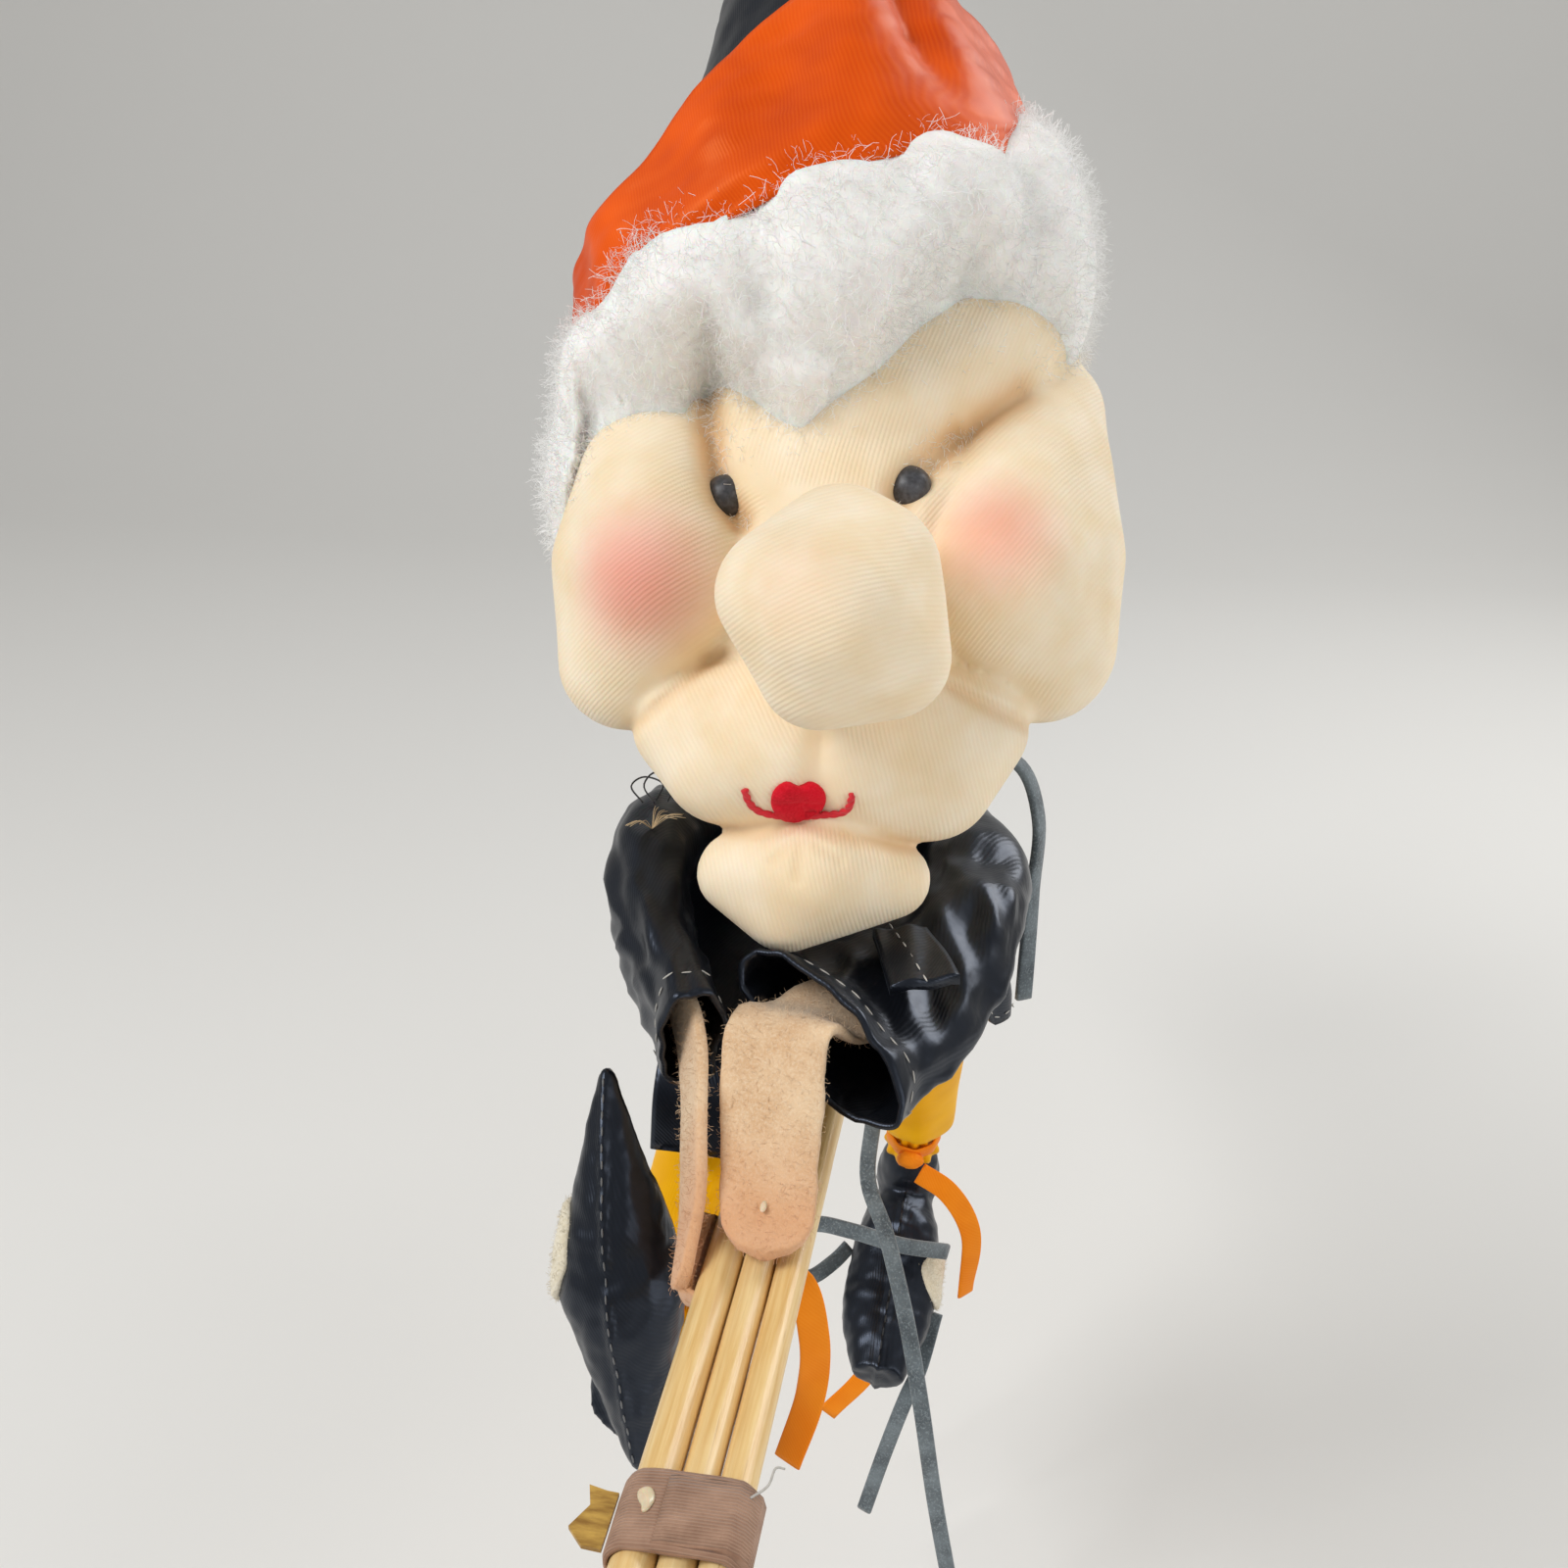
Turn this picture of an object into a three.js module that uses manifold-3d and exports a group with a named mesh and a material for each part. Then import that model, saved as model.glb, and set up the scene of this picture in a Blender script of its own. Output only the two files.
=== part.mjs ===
// A witch doll riding a broom, hung from the nape of its neck.
// Units are millimetres, +Z is up and the doll faces -Y.
// Places are measured from the point on the broom's axis where the hands hold it.
// The finished group is moved so that its origin is the point the doll hangs by.
import * as THREE from 'three';
import { mergeVertices } from 'three/addons/utils/BufferGeometryUtils.js';
import Module from 'manifold-3d';

const wasm = await Module();
wasm.setup();

// Clearances between neighbouring pieces
const SEAT = 0.3;
const RUNNING = 0.5;

// Broom
const REED_THICK = 5.3;
const REED_THIN = 4.5;
const BROOM_FRONT_Y = -75;
const REED_END_Y = 206;
const BAND_WIDTH = 12.5;
const BAND_THICKNESS = 0.9;
const BAND_REAR_Y = -40;
const TAB_LENGTH = 8;
const TAB_WIDTH = 9;
const TAB_THICKNESS = 0.6;
const BRUSH_START_Y = 192;
const BRUSH_LENGTH = 110;
const BRUSH_NECK_RADIUS = 14;
const BRUSH_END_RADIUS = 30;
const BRUSH_BACKING = 5;
const STRAW_COUNT = 285;
const STRAW_RADIUS = 0.55;
const TIE_WIDTH = 9;
const TIE_THICKNESS = 1.2;

// Body and dress
const HIP_SPREAD = 17.5;
const HIP_Y = 98;
const HIP_Z = 0;
const THIGH_RADIUS = 9;
const CHEST_HALF_WIDTH = 19;
const CHEST_HALF_DEPTH = 15;
const CHEST_HALF_HEIGHT = 15;
const CHEST_Y = 106;
const CHEST_Z = 15;
const PELVIS_HALF_DEPTH = 17;
const PELVIS_HALF_HEIGHT = 12;
const CLOTH = 1.2;
const SKIRT_FLARE = 2.5;
const SKIRT_HALF_DEPTH = 34;
const SKIRT_SIDE_HEM_Z = -17;
const SKIRT_LAP_HEM_Z = 10.5;
const SKIRT_PLEATS = 12;
const PLEAT_DEPTH = 1.1;

// Neck and head
const NECK_PIVOT = new THREE.Vector3(0, 100, 42);
const NECK_BALL_RADIUS = 8;
const NECK_RADIUS = 6;
const NECK_FOOT_Z = 24;
const COLLAR_RADIUS = 10.5;
const COLLAR_Z = 33;
const HANG_POINT = new THREE.Vector3(NECK_PIVOT.x, NECK_PIVOT.y + COLLAR_RADIUS, COLLAR_Z);
const HEAD_CENTRE = new THREE.Vector3(-1.3, 83, 71.3);
const HEAD_TIP_BACK = 24;
const HEAD_YAW = 9.5;
const EYE_DIAMETER = 6.3;
const LIP_WIDTH = 8.3;
const LIP_HEIGHT = 6.4;
const LIP_THICKNESS = 1;

// Hat
const HAT_RADIUS = 41;
const BRIM_FRONT_HEIGHT = 38;
const BRIM_SIDE_HEIGHT = 15;
const BRIM_PEAK_TURN = 28;
const BRIM_CLOTH = 0.9;

// Arms and sleeves
const FELT = 2;
const HAND_WIDTH = 16;

// Legs, boots and their ties
const LEG_LENGTH = 90;
const ANKLE_BALL_RADIUS = 5.5;
const ANKLE_GATHER_RADIUS = 4.8;
const BOOT_HALF_WIDTH = 10.5;
const BOOT_TOE_REACH = 50;
const PATCH_LENGTH = 16;
const PATCH_WIDTH = 11;
const PATCH_THICKNESS = 1.2;
const RIBBON_WIDTH = 5;
const RIBBON_THICKNESS = 0.8;
const LACE_WIDTH = 3.6;
const LACE_THICKNESS = 1.6;

const radians = THREE.MathUtils.degToRad;
const { lerp, smoothstep } = THREE.MathUtils;
const point = (x, y, z) => new THREE.Vector3(x, y, z);

// Solid modelling helpers
function toSolid(geometry, matrix = new THREE.Matrix4()) {
  const bare = geometry.clone();
  bare.deleteAttribute('normal');
  bare.deleteAttribute('uv');
  bare.applyMatrix4(matrix);
  const merged = mergeVertices(bare, 1e-4);
  return new wasm.Manifold(new wasm.Mesh({
    numProp: 3,
    vertProperties: merged.attributes.position.array,
    triVerts: new Uint32Array(merged.index.array),
  }));
}

function toGeometry(solid) {
  const mesh = solid.getMesh();
  const geometry = new THREE.BufferGeometry();
  geometry.setAttribute('position', new THREE.Float32BufferAttribute(mesh.vertProperties, 3));
  geometry.setIndex(Array.from(mesh.triVerts));
  geometry.computeVertexNormals();
  return geometry;
}

const join = (solids) => solids.reduce((whole, piece) => whole.add(piece));
const cut = (solid, tools) => tools.reduce((rest, tool) => rest.subtract(tool), solid);

// The body of a solid without the slivers that a cut leaves beside it
const mainBody = (solid) => solid.decompose().sort((a, b) => b.volume() - a.volume())[0];

function signedVolume(corners, faces) {
  let sum = 0;
  for (let i = 0; i < faces.length; i += 3) {
    const [a, b, c] = [corners[faces[i]], corners[faces[i + 1]], corners[faces[i + 2]]];
    sum += a.dot(point(0, 0, 0).crossVectors(b, c)) / 6;
  }
  return sum;
}

function closedGeometry(corners, faces) {
  const outward = signedVolume(corners, faces) > 0 ? faces : faces.toReversed();
  const geometry = new THREE.BufferGeometry().setFromPoints(corners);
  geometry.setIndex(outward);
  return geometry;
}

function skinBetween(rings, first, last, faces) {
  const sides = rings[0].length;
  for (let side = 0; side < sides; side += 1) {
    const next = (side + 1) % sides;
    const [a, b] = [first * sides + side, first * sides + next];
    const [c, d] = [last * sides + side, last * sides + next];
    faces.push(a, b, d, a, d, c);
  }
}

// A solid through a row of rings, closed by a cap at each end
function loft(rings) {
  const corners = rings.flat();
  const sides = rings[0].length;
  const faces = [];
  for (let i = 0; i + 1 < rings.length; i += 1) {
    skinBetween(rings, i, i + 1, faces);
  }
  const lastRing = (rings.length - 1) * sides;
  for (let side = 1; side + 1 < sides; side += 1) {
    faces.push(0, side + 1, side);
    faces.push(lastRing, lastRing + side, lastRing + side + 1);
  }
  return closedGeometry(corners, faces);
}

// A hollow garment: its outer rings, then its inner rings back to the start
function garment(outer, inner) {
  const rings = [...outer, ...inner.toReversed()];
  const faces = [];
  for (let i = 0; i < rings.length; i += 1) {
    skinBetween(rings, i, (i + 1) % rings.length, faces);
  }
  return closedGeometry(rings.flat(), faces);
}

// Elliptical sections square to a path: each section is { at, wide, tall, turn, fold }
function sectionRings(sections, up, sides, folds = 0) {
  const places = sections.map((s) => point(...s.at));
  return sections.map((section, i) => {
    const ahead = places[Math.min(i + 1, places.length - 1)];
    const behind = places[Math.max(i - 1, 0)];
    const along = ahead.clone().sub(behind).normalize();
    const across = point(0, 0, 0).crossVectors(along, up).normalize();
    const rise = point(0, 0, 0).crossVectors(across, along);
    const turn = radians(section.turn ?? 0);
    return Array.from({ length: sides }, (_, k) => {
      const angle = (2 * Math.PI * k) / sides;
      const swell = 1 + (section.fold ?? 0) * Math.cos(folds * angle);
      const x = section.wide * swell * Math.cos(angle);
      const z = section.tall * swell * Math.sin(angle);
      return places[i].clone()
        .addScaledVector(across, x * Math.cos(turn) - z * Math.sin(turn))
        .addScaledVector(rise, x * Math.sin(turn) + z * Math.cos(turn));
    });
  });
}

function ellipsoid(centre, radii, grow = 0, across = 16, down = 10) {
  const ball = new THREE.SphereGeometry(1, across, down);
  ball.scale(radii[0] + grow, radii[1] + grow, radii[2] + grow);
  ball.translate(...centre);
  return ball;
}

function cylinderAlongY(radius, fromY, toY, sides = 16) {
  const rod = new THREE.CylinderGeometry(radius, radius, toY - fromY, sides);
  rod.translate(0, (fromY + toY) / 2, 0);
  return rod;
}

function extrudeAlongY(shape, fromY, toY) {
  const depth = toY - fromY;
  const slab = new THREE.ExtrudeGeometry(shape, { depth, bevelEnabled: false, curveSegments: 6 });
  slab.rotateX(Math.PI / 2);
  slab.translate(0, toY, 0);
  return slab;
}

// A flat strip along a path: each stop is { at, across, width }, across being its width's direction
function strip(stops, thickness) {
  const places = stops.map((s) => point(...s.at));
  const rings = stops.map((stop, i) => {
    const ahead = places[Math.min(i + 1, places.length - 1)];
    const behind = places[Math.max(i - 1, 0)];
    const along = ahead.clone().sub(behind).normalize();
    const across = point(...stop.across);
    across.addScaledVector(along, -across.dot(along)).normalize();
    const normal = point(0, 0, 0).crossVectors(across, along);
    const half = stop.width / 2;
    const edge = half - thickness / 4;
    const thin = thickness / 2;
    const outline = [[half, 0], [edge, thin], [-edge, thin], [-half, 0], [-edge, -thin], [edge, -thin]];
    return outline.map(([x, z]) => places[i].clone().addScaledVector(across, x).addScaledVector(normal, z));
  });
  return loft(rings);
}

// Finer stops along a smooth curve through a few chosen ones
function smoothStops(stops, count) {
  const curve = new THREE.CatmullRomCurve3(stops.map((s) => point(...s.at)), false, 'centripetal');
  return Array.from({ length: count + 1 }, (_, k) => {
    const t = k / count;
    const place = t * (stops.length - 1);
    const low = Math.min(Math.floor(place), stops.length - 2);
    const [from, to] = [stops[low], stops[low + 1]];
    const share = place - low;
    return {
      at: curve.getPoint(t).toArray(),
      across: from.across.map((value, axis) => lerp(value, to.across[axis], share)),
      width: lerp(from.width, to.width, share),
    };
  });
}

// Materials
const material = (color, roughness, metalness = 0) =>
  new THREE.MeshStandardMaterial({ color, roughness, metalness });
const reed = material(0xdcae63, 0.45);
const brownRibbon = material(0x8c6552, 0.8);
const paperTab = material(0xb08a4a, 0.7);
const straw = material(0xc9a35c, 0.8);
const blackSatin = material(0x15161b, 0.35);
const orangeSatin = material(0xee4d14, 0.35);
const yellowSatin = material(0xf4b400, 0.35);
const orangeRibbon = material(0xf07a10, 0.4);
const muslin = material(0xe8dcc4, 0.9);
const nylonSkin = material(0xf2d8a8, 0.75);
const batting = material(0xf3f0ea, 1);
const handFelt = material(0xe6bd94, 0.95);
const redFelt = material(0xc4101c, 0.9);
const darkBead = material(0x2e2f33, 0.4);
const creamFelt = material(0xeae0c8, 0.8);
const suede = material(0x3a3c3a, 0.7);

function named(name, geometry, surface) {
  const mesh = new THREE.Mesh(geometry, surface);
  mesh.name = name;
  return mesh;
}

// Broom: three reeds side by side, bound in front and tied to a straw brush behind
const bundleWidth = REED_THICK + 2 * REED_THIN + 2 * SEAT;
const reedPlaces = {
  left: { radius: REED_THICK / 2, x: -bundleWidth / 2 + REED_THICK / 2 },
  middle: { radius: REED_THIN / 2, x: -bundleWidth / 2 + REED_THICK + SEAT + REED_THIN / 2 },
  right: { radius: REED_THIN / 2, x: bundleWidth / 2 - REED_THIN / 2 },
};

function reeds() {
  return Object.entries(reedPlaces).map(([side, { radius, x }]) => {
    const mesh = named(`broom_stick_${side}`, cylinderAlongY(radius, BROOM_FRONT_Y, REED_END_Y), reed);
    mesh.position.x = x;
    return mesh;
  });
}

// The space the three reeds take up, with a clearance round it
function reedSpace(gap, fromY = BROOM_FRONT_Y - 1, toY = REED_END_Y + 1) {
  return join(Object.values(reedPlaces).map(({ radius, x }) =>
    toSolid(cylinderAlongY(radius + gap, fromY, toY), new THREE.Matrix4().makeTranslation(x, 0, 0))));
}

function stadium(halfWidth, radius) {
  const shape = new THREE.Shape();
  shape.absarc(halfWidth - radius, 0, radius, -Math.PI / 2, Math.PI / 2);
  shape.absarc(radius - halfWidth, 0, radius, Math.PI / 2, 1.5 * Math.PI);
  shape.closePath();
  return shape;
}

function frontBinding() {
  const inner = stadium(bundleWidth / 2 + SEAT, REED_THICK / 2 + SEAT);
  const outer = stadium(bundleWidth / 2 + SEAT + BAND_THICKNESS, REED_THICK / 2 + SEAT + BAND_THICKNESS);
  outer.holes.push(inner);
  const band = toSolid(extrudeAlongY(outer, BAND_REAR_Y - BAND_WIDTH, BAND_REAR_Y));
  const lapOut = SEAT + 1.6 * BAND_THICKNESS;
  const lap = stadium(bundleWidth / 2 + lapOut, REED_THICK / 2 + lapOut);
  lap.holes.push(inner);
  const lapTurn = toSolid(extrudeAlongY(lap, BAND_REAR_Y - BAND_WIDTH, BAND_REAR_Y - 1.5));
  const lapSide = new THREE.BoxGeometry(bundleWidth, BAND_WIDTH * 2, REED_THICK * 2);
  lapSide.translate(bundleWidth / 2 + 1, BAND_REAR_Y - BAND_WIDTH / 2, REED_THICK);
  return named('front_binding', toGeometry(band.add(lapTurn.intersect(toSolid(lapSide)))), brownRibbon);
}

function bindingTab() {
  const tab = new THREE.BoxGeometry(TAB_LENGTH, TAB_WIDTH, TAB_THICKNESS);
  const mesh = named('binding_tab', tab, paperTab);
  const bandEdgeX = -(bundleWidth / 2 + SEAT + BAND_THICKNESS);
  mesh.position.set(bandEdgeX - SEAT - TAB_LENGTH / 2, BAND_REAR_Y - BAND_WIDTH / 2, 0);
  return mesh;
}

// One straw: a thin three-sided shaft that spreads outwards from the neck to the end
function strawShaft(index) {
  const share = (index + 0.5) / STRAW_COUNT;
  const angle = index * Math.PI * (3 - Math.sqrt(5));
  const innerNeck = bundleWidth / 2 + 2;
  const neck = Math.sqrt(lerp(innerNeck ** 2, (BRUSH_NECK_RADIUS - 1) ** 2, share));
  const end = Math.sqrt(lerp(5 ** 2, BRUSH_END_RADIUS ** 2, share));
  const rings = [0, 1].map((t) => {
    const radius = lerp(neck, end, t);
    const y = BRUSH_START_Y + BRUSH_BACKING - 1 + t * BRUSH_LENGTH * (1 - 0.06 * Math.sin(7 * index));
    return [0, 1, 2].map((corner) => {
      const around = (2 * Math.PI * corner) / 3;
      return point(
        radius * Math.cos(angle) + STRAW_RADIUS * Math.cos(around),
        y,
        radius * Math.sin(angle) + STRAW_RADIUS * Math.sin(around),
      );
    });
  });
  return toSolid(loft(rings));
}

function brush() {
  const hole = bundleWidth / 2 + SEAT;
  const profile = [
    new THREE.Vector2(hole, 0),
    new THREE.Vector2(BRUSH_NECK_RADIUS, 0),
    new THREE.Vector2(BRUSH_NECK_RADIUS, BRUSH_BACKING),
    new THREE.Vector2(hole, BRUSH_BACKING),
    new THREE.Vector2(hole, 0),
  ];
  const backing = new THREE.LatheGeometry(profile, 32);
  const place = new THREE.Matrix4().makeTranslation(0, BRUSH_START_Y, 0);
  const straws = Array.from({ length: STRAW_COUNT }, (_, index) => strawShaft(index));
  const brushSolid = wasm.Manifold.union([toSolid(backing, place), ...straws]);
  return named('broom_brush', toGeometry(brushSolid.subtract(reedSpace(SEAT))), straw);
}

function brushTie() {
  const inner = BRUSH_NECK_RADIUS + SEAT;
  const outer = inner + TIE_THICKNESS;
  const profile = [
    new THREE.Vector2(inner, 0),
    new THREE.Vector2(outer, 0),
    new THREE.Vector2(outer, TIE_WIDTH / 2),
    new THREE.Vector2(inner, TIE_WIDTH / 2),
    new THREE.Vector2(inner, 0),
  ];
  const tie = new THREE.LatheGeometry(profile, 24);
  tie.translate(0, BRUSH_START_Y, 0);
  return named('brush_tie', tie, brownRibbon);
}

// Body: a stuffed chest and pelvis that sits on the reeds between the thighs
function torsoSolid(grow) {
  const crotchHalfWidth = HIP_SPREAD - THIGH_RADIUS - SEAT + grow;
  const chestRadii = [CHEST_HALF_WIDTH, CHEST_HALF_DEPTH, CHEST_HALF_HEIGHT];
  const pelvisRadii = [CHEST_HALF_WIDTH, PELVIS_HALF_DEPTH, PELVIS_HALF_HEIGHT];
  const chest = ellipsoid([0, CHEST_Y, CHEST_Z], chestRadii, grow);
  const pelvis = ellipsoid([0, CHEST_Y, CHEST_Z / 2], pelvisRadii, grow);
  const roomBelow = (x, topZ) => {
    const block = new THREE.BoxGeometry(4 * CHEST_HALF_WIDTH, 6 * PELVIS_HALF_DEPTH, 4 * CHEST_HALF_WIDTH);
    block.translate(x, CHEST_Y, topZ - grow - 2 * CHEST_HALF_WIDTH);
    return toSolid(block);
  };
  const thighSpaces = [-1, 1].map((side) =>
    roomBelow(side * (crotchHalfWidth + 2 * CHEST_HALF_WIDTH), HIP_Z + THIGH_RADIUS + RUNNING));
  return cut(toSolid(chest).add(toSolid(pelvis)), [...thighSpaces, roomBelow(0, REED_THICK / 2 + SEAT)]);
}

function neckColumn(grow) {
  const radius = NECK_RADIUS + grow;
  const column = new THREE.CylinderGeometry(radius, radius, NECK_PIVOT.z - NECK_FOOT_Z + grow, 12);
  column.rotateX(Math.PI / 2);
  column.translate(NECK_PIVOT.x, NECK_PIVOT.y, (NECK_PIVOT.z + NECK_FOOT_Z - grow) / 2);
  return toSolid(column);
}

function neckBall(grow) {
  const radii = [NECK_BALL_RADIUS, NECK_BALL_RADIUS, NECK_BALL_RADIUS];
  return toSolid(ellipsoid(NECK_PIVOT.toArray(), radii, grow));
}

function torso() {
  const body = cut(torsoSolid(0), [reedSpace(SEAT), neckColumn(SEAT), neckBall(RUNNING)]);
  return named('torso', toGeometry(body), muslin);
}

function neck() {
  return named('neck', toGeometry(neckColumn(0).add(neckBall(0))), nylonSkin);
}

// Dress: gathered at the neck, close over the chest, draped over the lap and hanging at both sides
function dressRings(inset) {
  const sides = 4 * SKIRT_PLEATS;
  const bodice = [
    { z: COLLAR_Z, y: NECK_PIVOT.y, wide: COLLAR_RADIUS, deep: COLLAR_RADIUS },
    { z: CHEST_Z + CHEST_HALF_HEIGHT + 1, y: 102, wide: 13.5, deep: 12 },
    { z: CHEST_Z + 10, y: 105, wide: CHEST_HALF_WIDTH - 0.5, deep: CHEST_HALF_DEPTH + 0.5 },
    { z: CHEST_Z, y: CHEST_Y, wide: CHEST_HALF_WIDTH + 2, deep: CHEST_HALF_DEPTH + 3.5 },
  ];
  const lapZ = HIP_Z + THIGH_RADIUS + 3.2;
  const skirtTopHalfWidth = HIP_SPREAD + THIGH_RADIUS + RUNNING + CLOTH + PLEAT_DEPTH;
  const skirt = [0, 0.3, 0.65, 1];
  const around = (make) => Array.from({ length: sides }, (_, k) => make((2 * Math.PI * k) / sides));
  const bodiceRings = bodice.map(({ z, y, wide, deep }) => around((angle) =>
    point((wide - inset) * Math.cos(angle), y + (deep - inset) * Math.sin(angle), z)));
  const skirtRings = skirt.map((t) => around((angle) => {
    const fromSide = Math.abs(Math.sin(angle));
    const lifted = Math.sin(angle) < 0
      ? smoothstep(fromSide, 0.15, 0.5)
      : smoothstep(fromSide, 0.75, 0.95);
    const hemZ = lerp(SKIRT_SIDE_HEM_Z, SKIRT_LAP_HEM_Z, lifted);
    const pleat = PLEAT_DEPTH * t * Math.cos(SKIRT_PLEATS * angle);
    const wide = skirtTopHalfWidth + SKIRT_FLARE * t + pleat - inset;
    const deep = lerp(CHEST_HALF_DEPTH + 8, SKIRT_HALF_DEPTH, t) + pleat - inset;
    const z = lerp(lapZ, hemZ, t) - inset * Math.max(lifted, 1 - t);
    return point(wide * Math.cos(angle), CHEST_Y + deep * Math.sin(angle), z);
  }));
  return [...bodiceRings, ...skirtRings];
}

function dress() {
  const shell = toSolid(garment(dressRings(0), dressRings(CLOTH)));
  return named('dress', toGeometry(cut(shell, [torsoSolid(SEAT), neckBall(RUNNING)])), blackSatin);
}

// Arms: flat felt strips inside the sleeves, ending in hands that close round the reeds
const leftArmStops = [
  { at: [24.5, 82.5, 25], across: [1, 0, 0], width: 10 },
  { at: [22.5, 64, 24], across: [1, 0, 0], width: 11 },
  { at: [14.5, 46, 21.5], across: [1, 0, -0.15], width: 12 },
  { at: [5, 34, 23.5], across: [1, 0, -0.4], width: 13 },
  { at: [-0.3, 26, 25.5], across: [1, 0, -0.35], width: 14.5 },
  { at: [0, 15, 15.5], across: [1, 0, 0], width: HAND_WIDTH },
  { at: [0.9, 7.5, 8], across: [1, 0, 0], width: HAND_WIDTH - 0.5 },
  { at: [1.5, 2.5, 5], across: [1, 0, 0], width: HAND_WIDTH - 3 },
  { at: [1.7, -1, 4.4], across: [1, 0, 0], width: 8 },
];
const rightArmStops = [
  { at: [-27.2, 82, 30.4], across: [0, 0.2, 1], width: 9 },
  { at: [-27, 62, 33.4], across: [0, 0.2, 1], width: 10 },
  { at: [-22, 42, 27], across: [0, 0.3, 1], width: 10.5 },
  { at: [-14.5, 27, 21.5], across: [0, 0.5, 1], width: 12 },
  { at: [-11.5, 14, 13], across: [0, 0.7, 0.7], width: 12 },
  { at: [-9.4, 6, 5], across: [0, 0.8, 0.5], width: 11 },
  { at: [-9.2, 2, 0.5], across: [0, 0.9, 0.4], width: 9 },
];

function leftArm() {
  const arm = toSolid(strip(smoothStops(leftArmStops, 16), FELT));
  return cut(arm, [reedSpace(SEAT)]);
}

// The right palm is a felt cradle under the reeds whose two edges stand up beside them
function palmCradle() {
  const inner = stadium(bundleWidth / 2 + SEAT, REED_THICK / 2 + SEAT);
  const outer = stadium(bundleWidth / 2 + SEAT + FELT, REED_THICK / 2 + SEAT + FELT);
  outer.holes.push(inner);
  const sleeveOfFelt = toSolid(extrudeAlongY(outer, -3, 12));
  const openTop = new THREE.BoxGeometry(bundleWidth - REED_THICK / 2, 40, 20);
  openTop.translate(0, 5, 10);
  return cut(sleeveOfFelt, [toSolid(openTop)]);
}

function rightArm() {
  const arm = toSolid(strip(smoothStops(rightArmStops, 16), FELT));
  const frontHand = toSolid(strip(smoothStops(leftArmStops, 16), FELT + 2 * SEAT));
  return cut(arm.add(palmCradle()), [reedSpace(SEAT), frontHand]);
}

// Sleeves: wide satin tubes, hollow from the cuff to the shoulder
const leftSleeveSections = [
  { at: [20, 100, 24], wide: 9, tall: 8 },
  { at: [25, 84, 25], wide: 10, tall: 8.5 },
  { at: [23, 64, 23.5], wide: 11, tall: 8, fold: 0.04 },
  { at: [15.5, 46, 20.8], wide: 13, tall: 6.8, turn: 9, fold: 0.05 },
  { at: [8.5, 34.5, 21.2], wide: 16, tall: 6, turn: 21, fold: 0.04 },
  { at: [5.5, 26.5, 24.2], wide: 18, tall: 7.4, turn: 31, fold: 0.04 },
];
const rightSleeveSections = [
  { at: [-20, 100, 24], wide: 9, tall: 8 },
  { at: [-27, 84, 30], wide: 9, tall: 8.5 },
  { at: [-28.5, 64, 34], wide: 8.5, tall: 8.5, fold: 0.04 },
  { at: [-24, 45, 28], wide: 7.5, tall: 8.8, fold: 0.05 },
  { at: [-17, 32, 23.5], wide: 6.2, tall: 10, fold: 0.05 },
  { at: [-14, 25.5, 22], wide: 5.7, tall: 10.5, fold: 0.04 },
];
const SLEEVE_FOLDS = 6;
const SLEEVE_SIDES = 18;

function sleeve(name, sections) {
  const up = point(0, 0, 1);
  const shrink = (s) => ({ ...s, wide: s.wide - CLOTH, tall: s.tall - CLOTH });
  const cuff = sections.at(-1);
  const beforeCuff = sections.at(-2);
  const beyondCuff = cuff.at.map((value, axis) => value + (value - beforeCuff.at[axis]) * 0.5);
  const lining = [...sections.slice(1).map(shrink), { ...shrink(cuff), at: beyondCuff }];
  const outside = toSolid(loft(sectionRings(sections, up, SLEEVE_SIDES, SLEEVE_FOLDS)));
  const inside = toSolid(loft(sectionRings(lining, up, SLEEVE_SIDES, SLEEVE_FOLDS)));
  const tools = [inside, toSolid(loft(dressRings(-SEAT))), reedSpace(RUNNING)];
  return named(name, toGeometry(cut(outside, tools)), blackSatin);
}

// A short folded facing strip that sticks out of the neckline beside the chin
function necklineStrip() {
  const stops = [
    { at: [15, 50, 30.2], across: [1, -0.3, 0], width: 9 },
    { at: [18, 42, 30.2], across: [1, -0.3, 0], width: 10 },
    { at: [20.5, 35, 29.7], across: [1, -0.3, 0], width: 11 },
  ];
  return toSolid(strip(smoothStops(stops, 6), 2.4));
}

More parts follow.
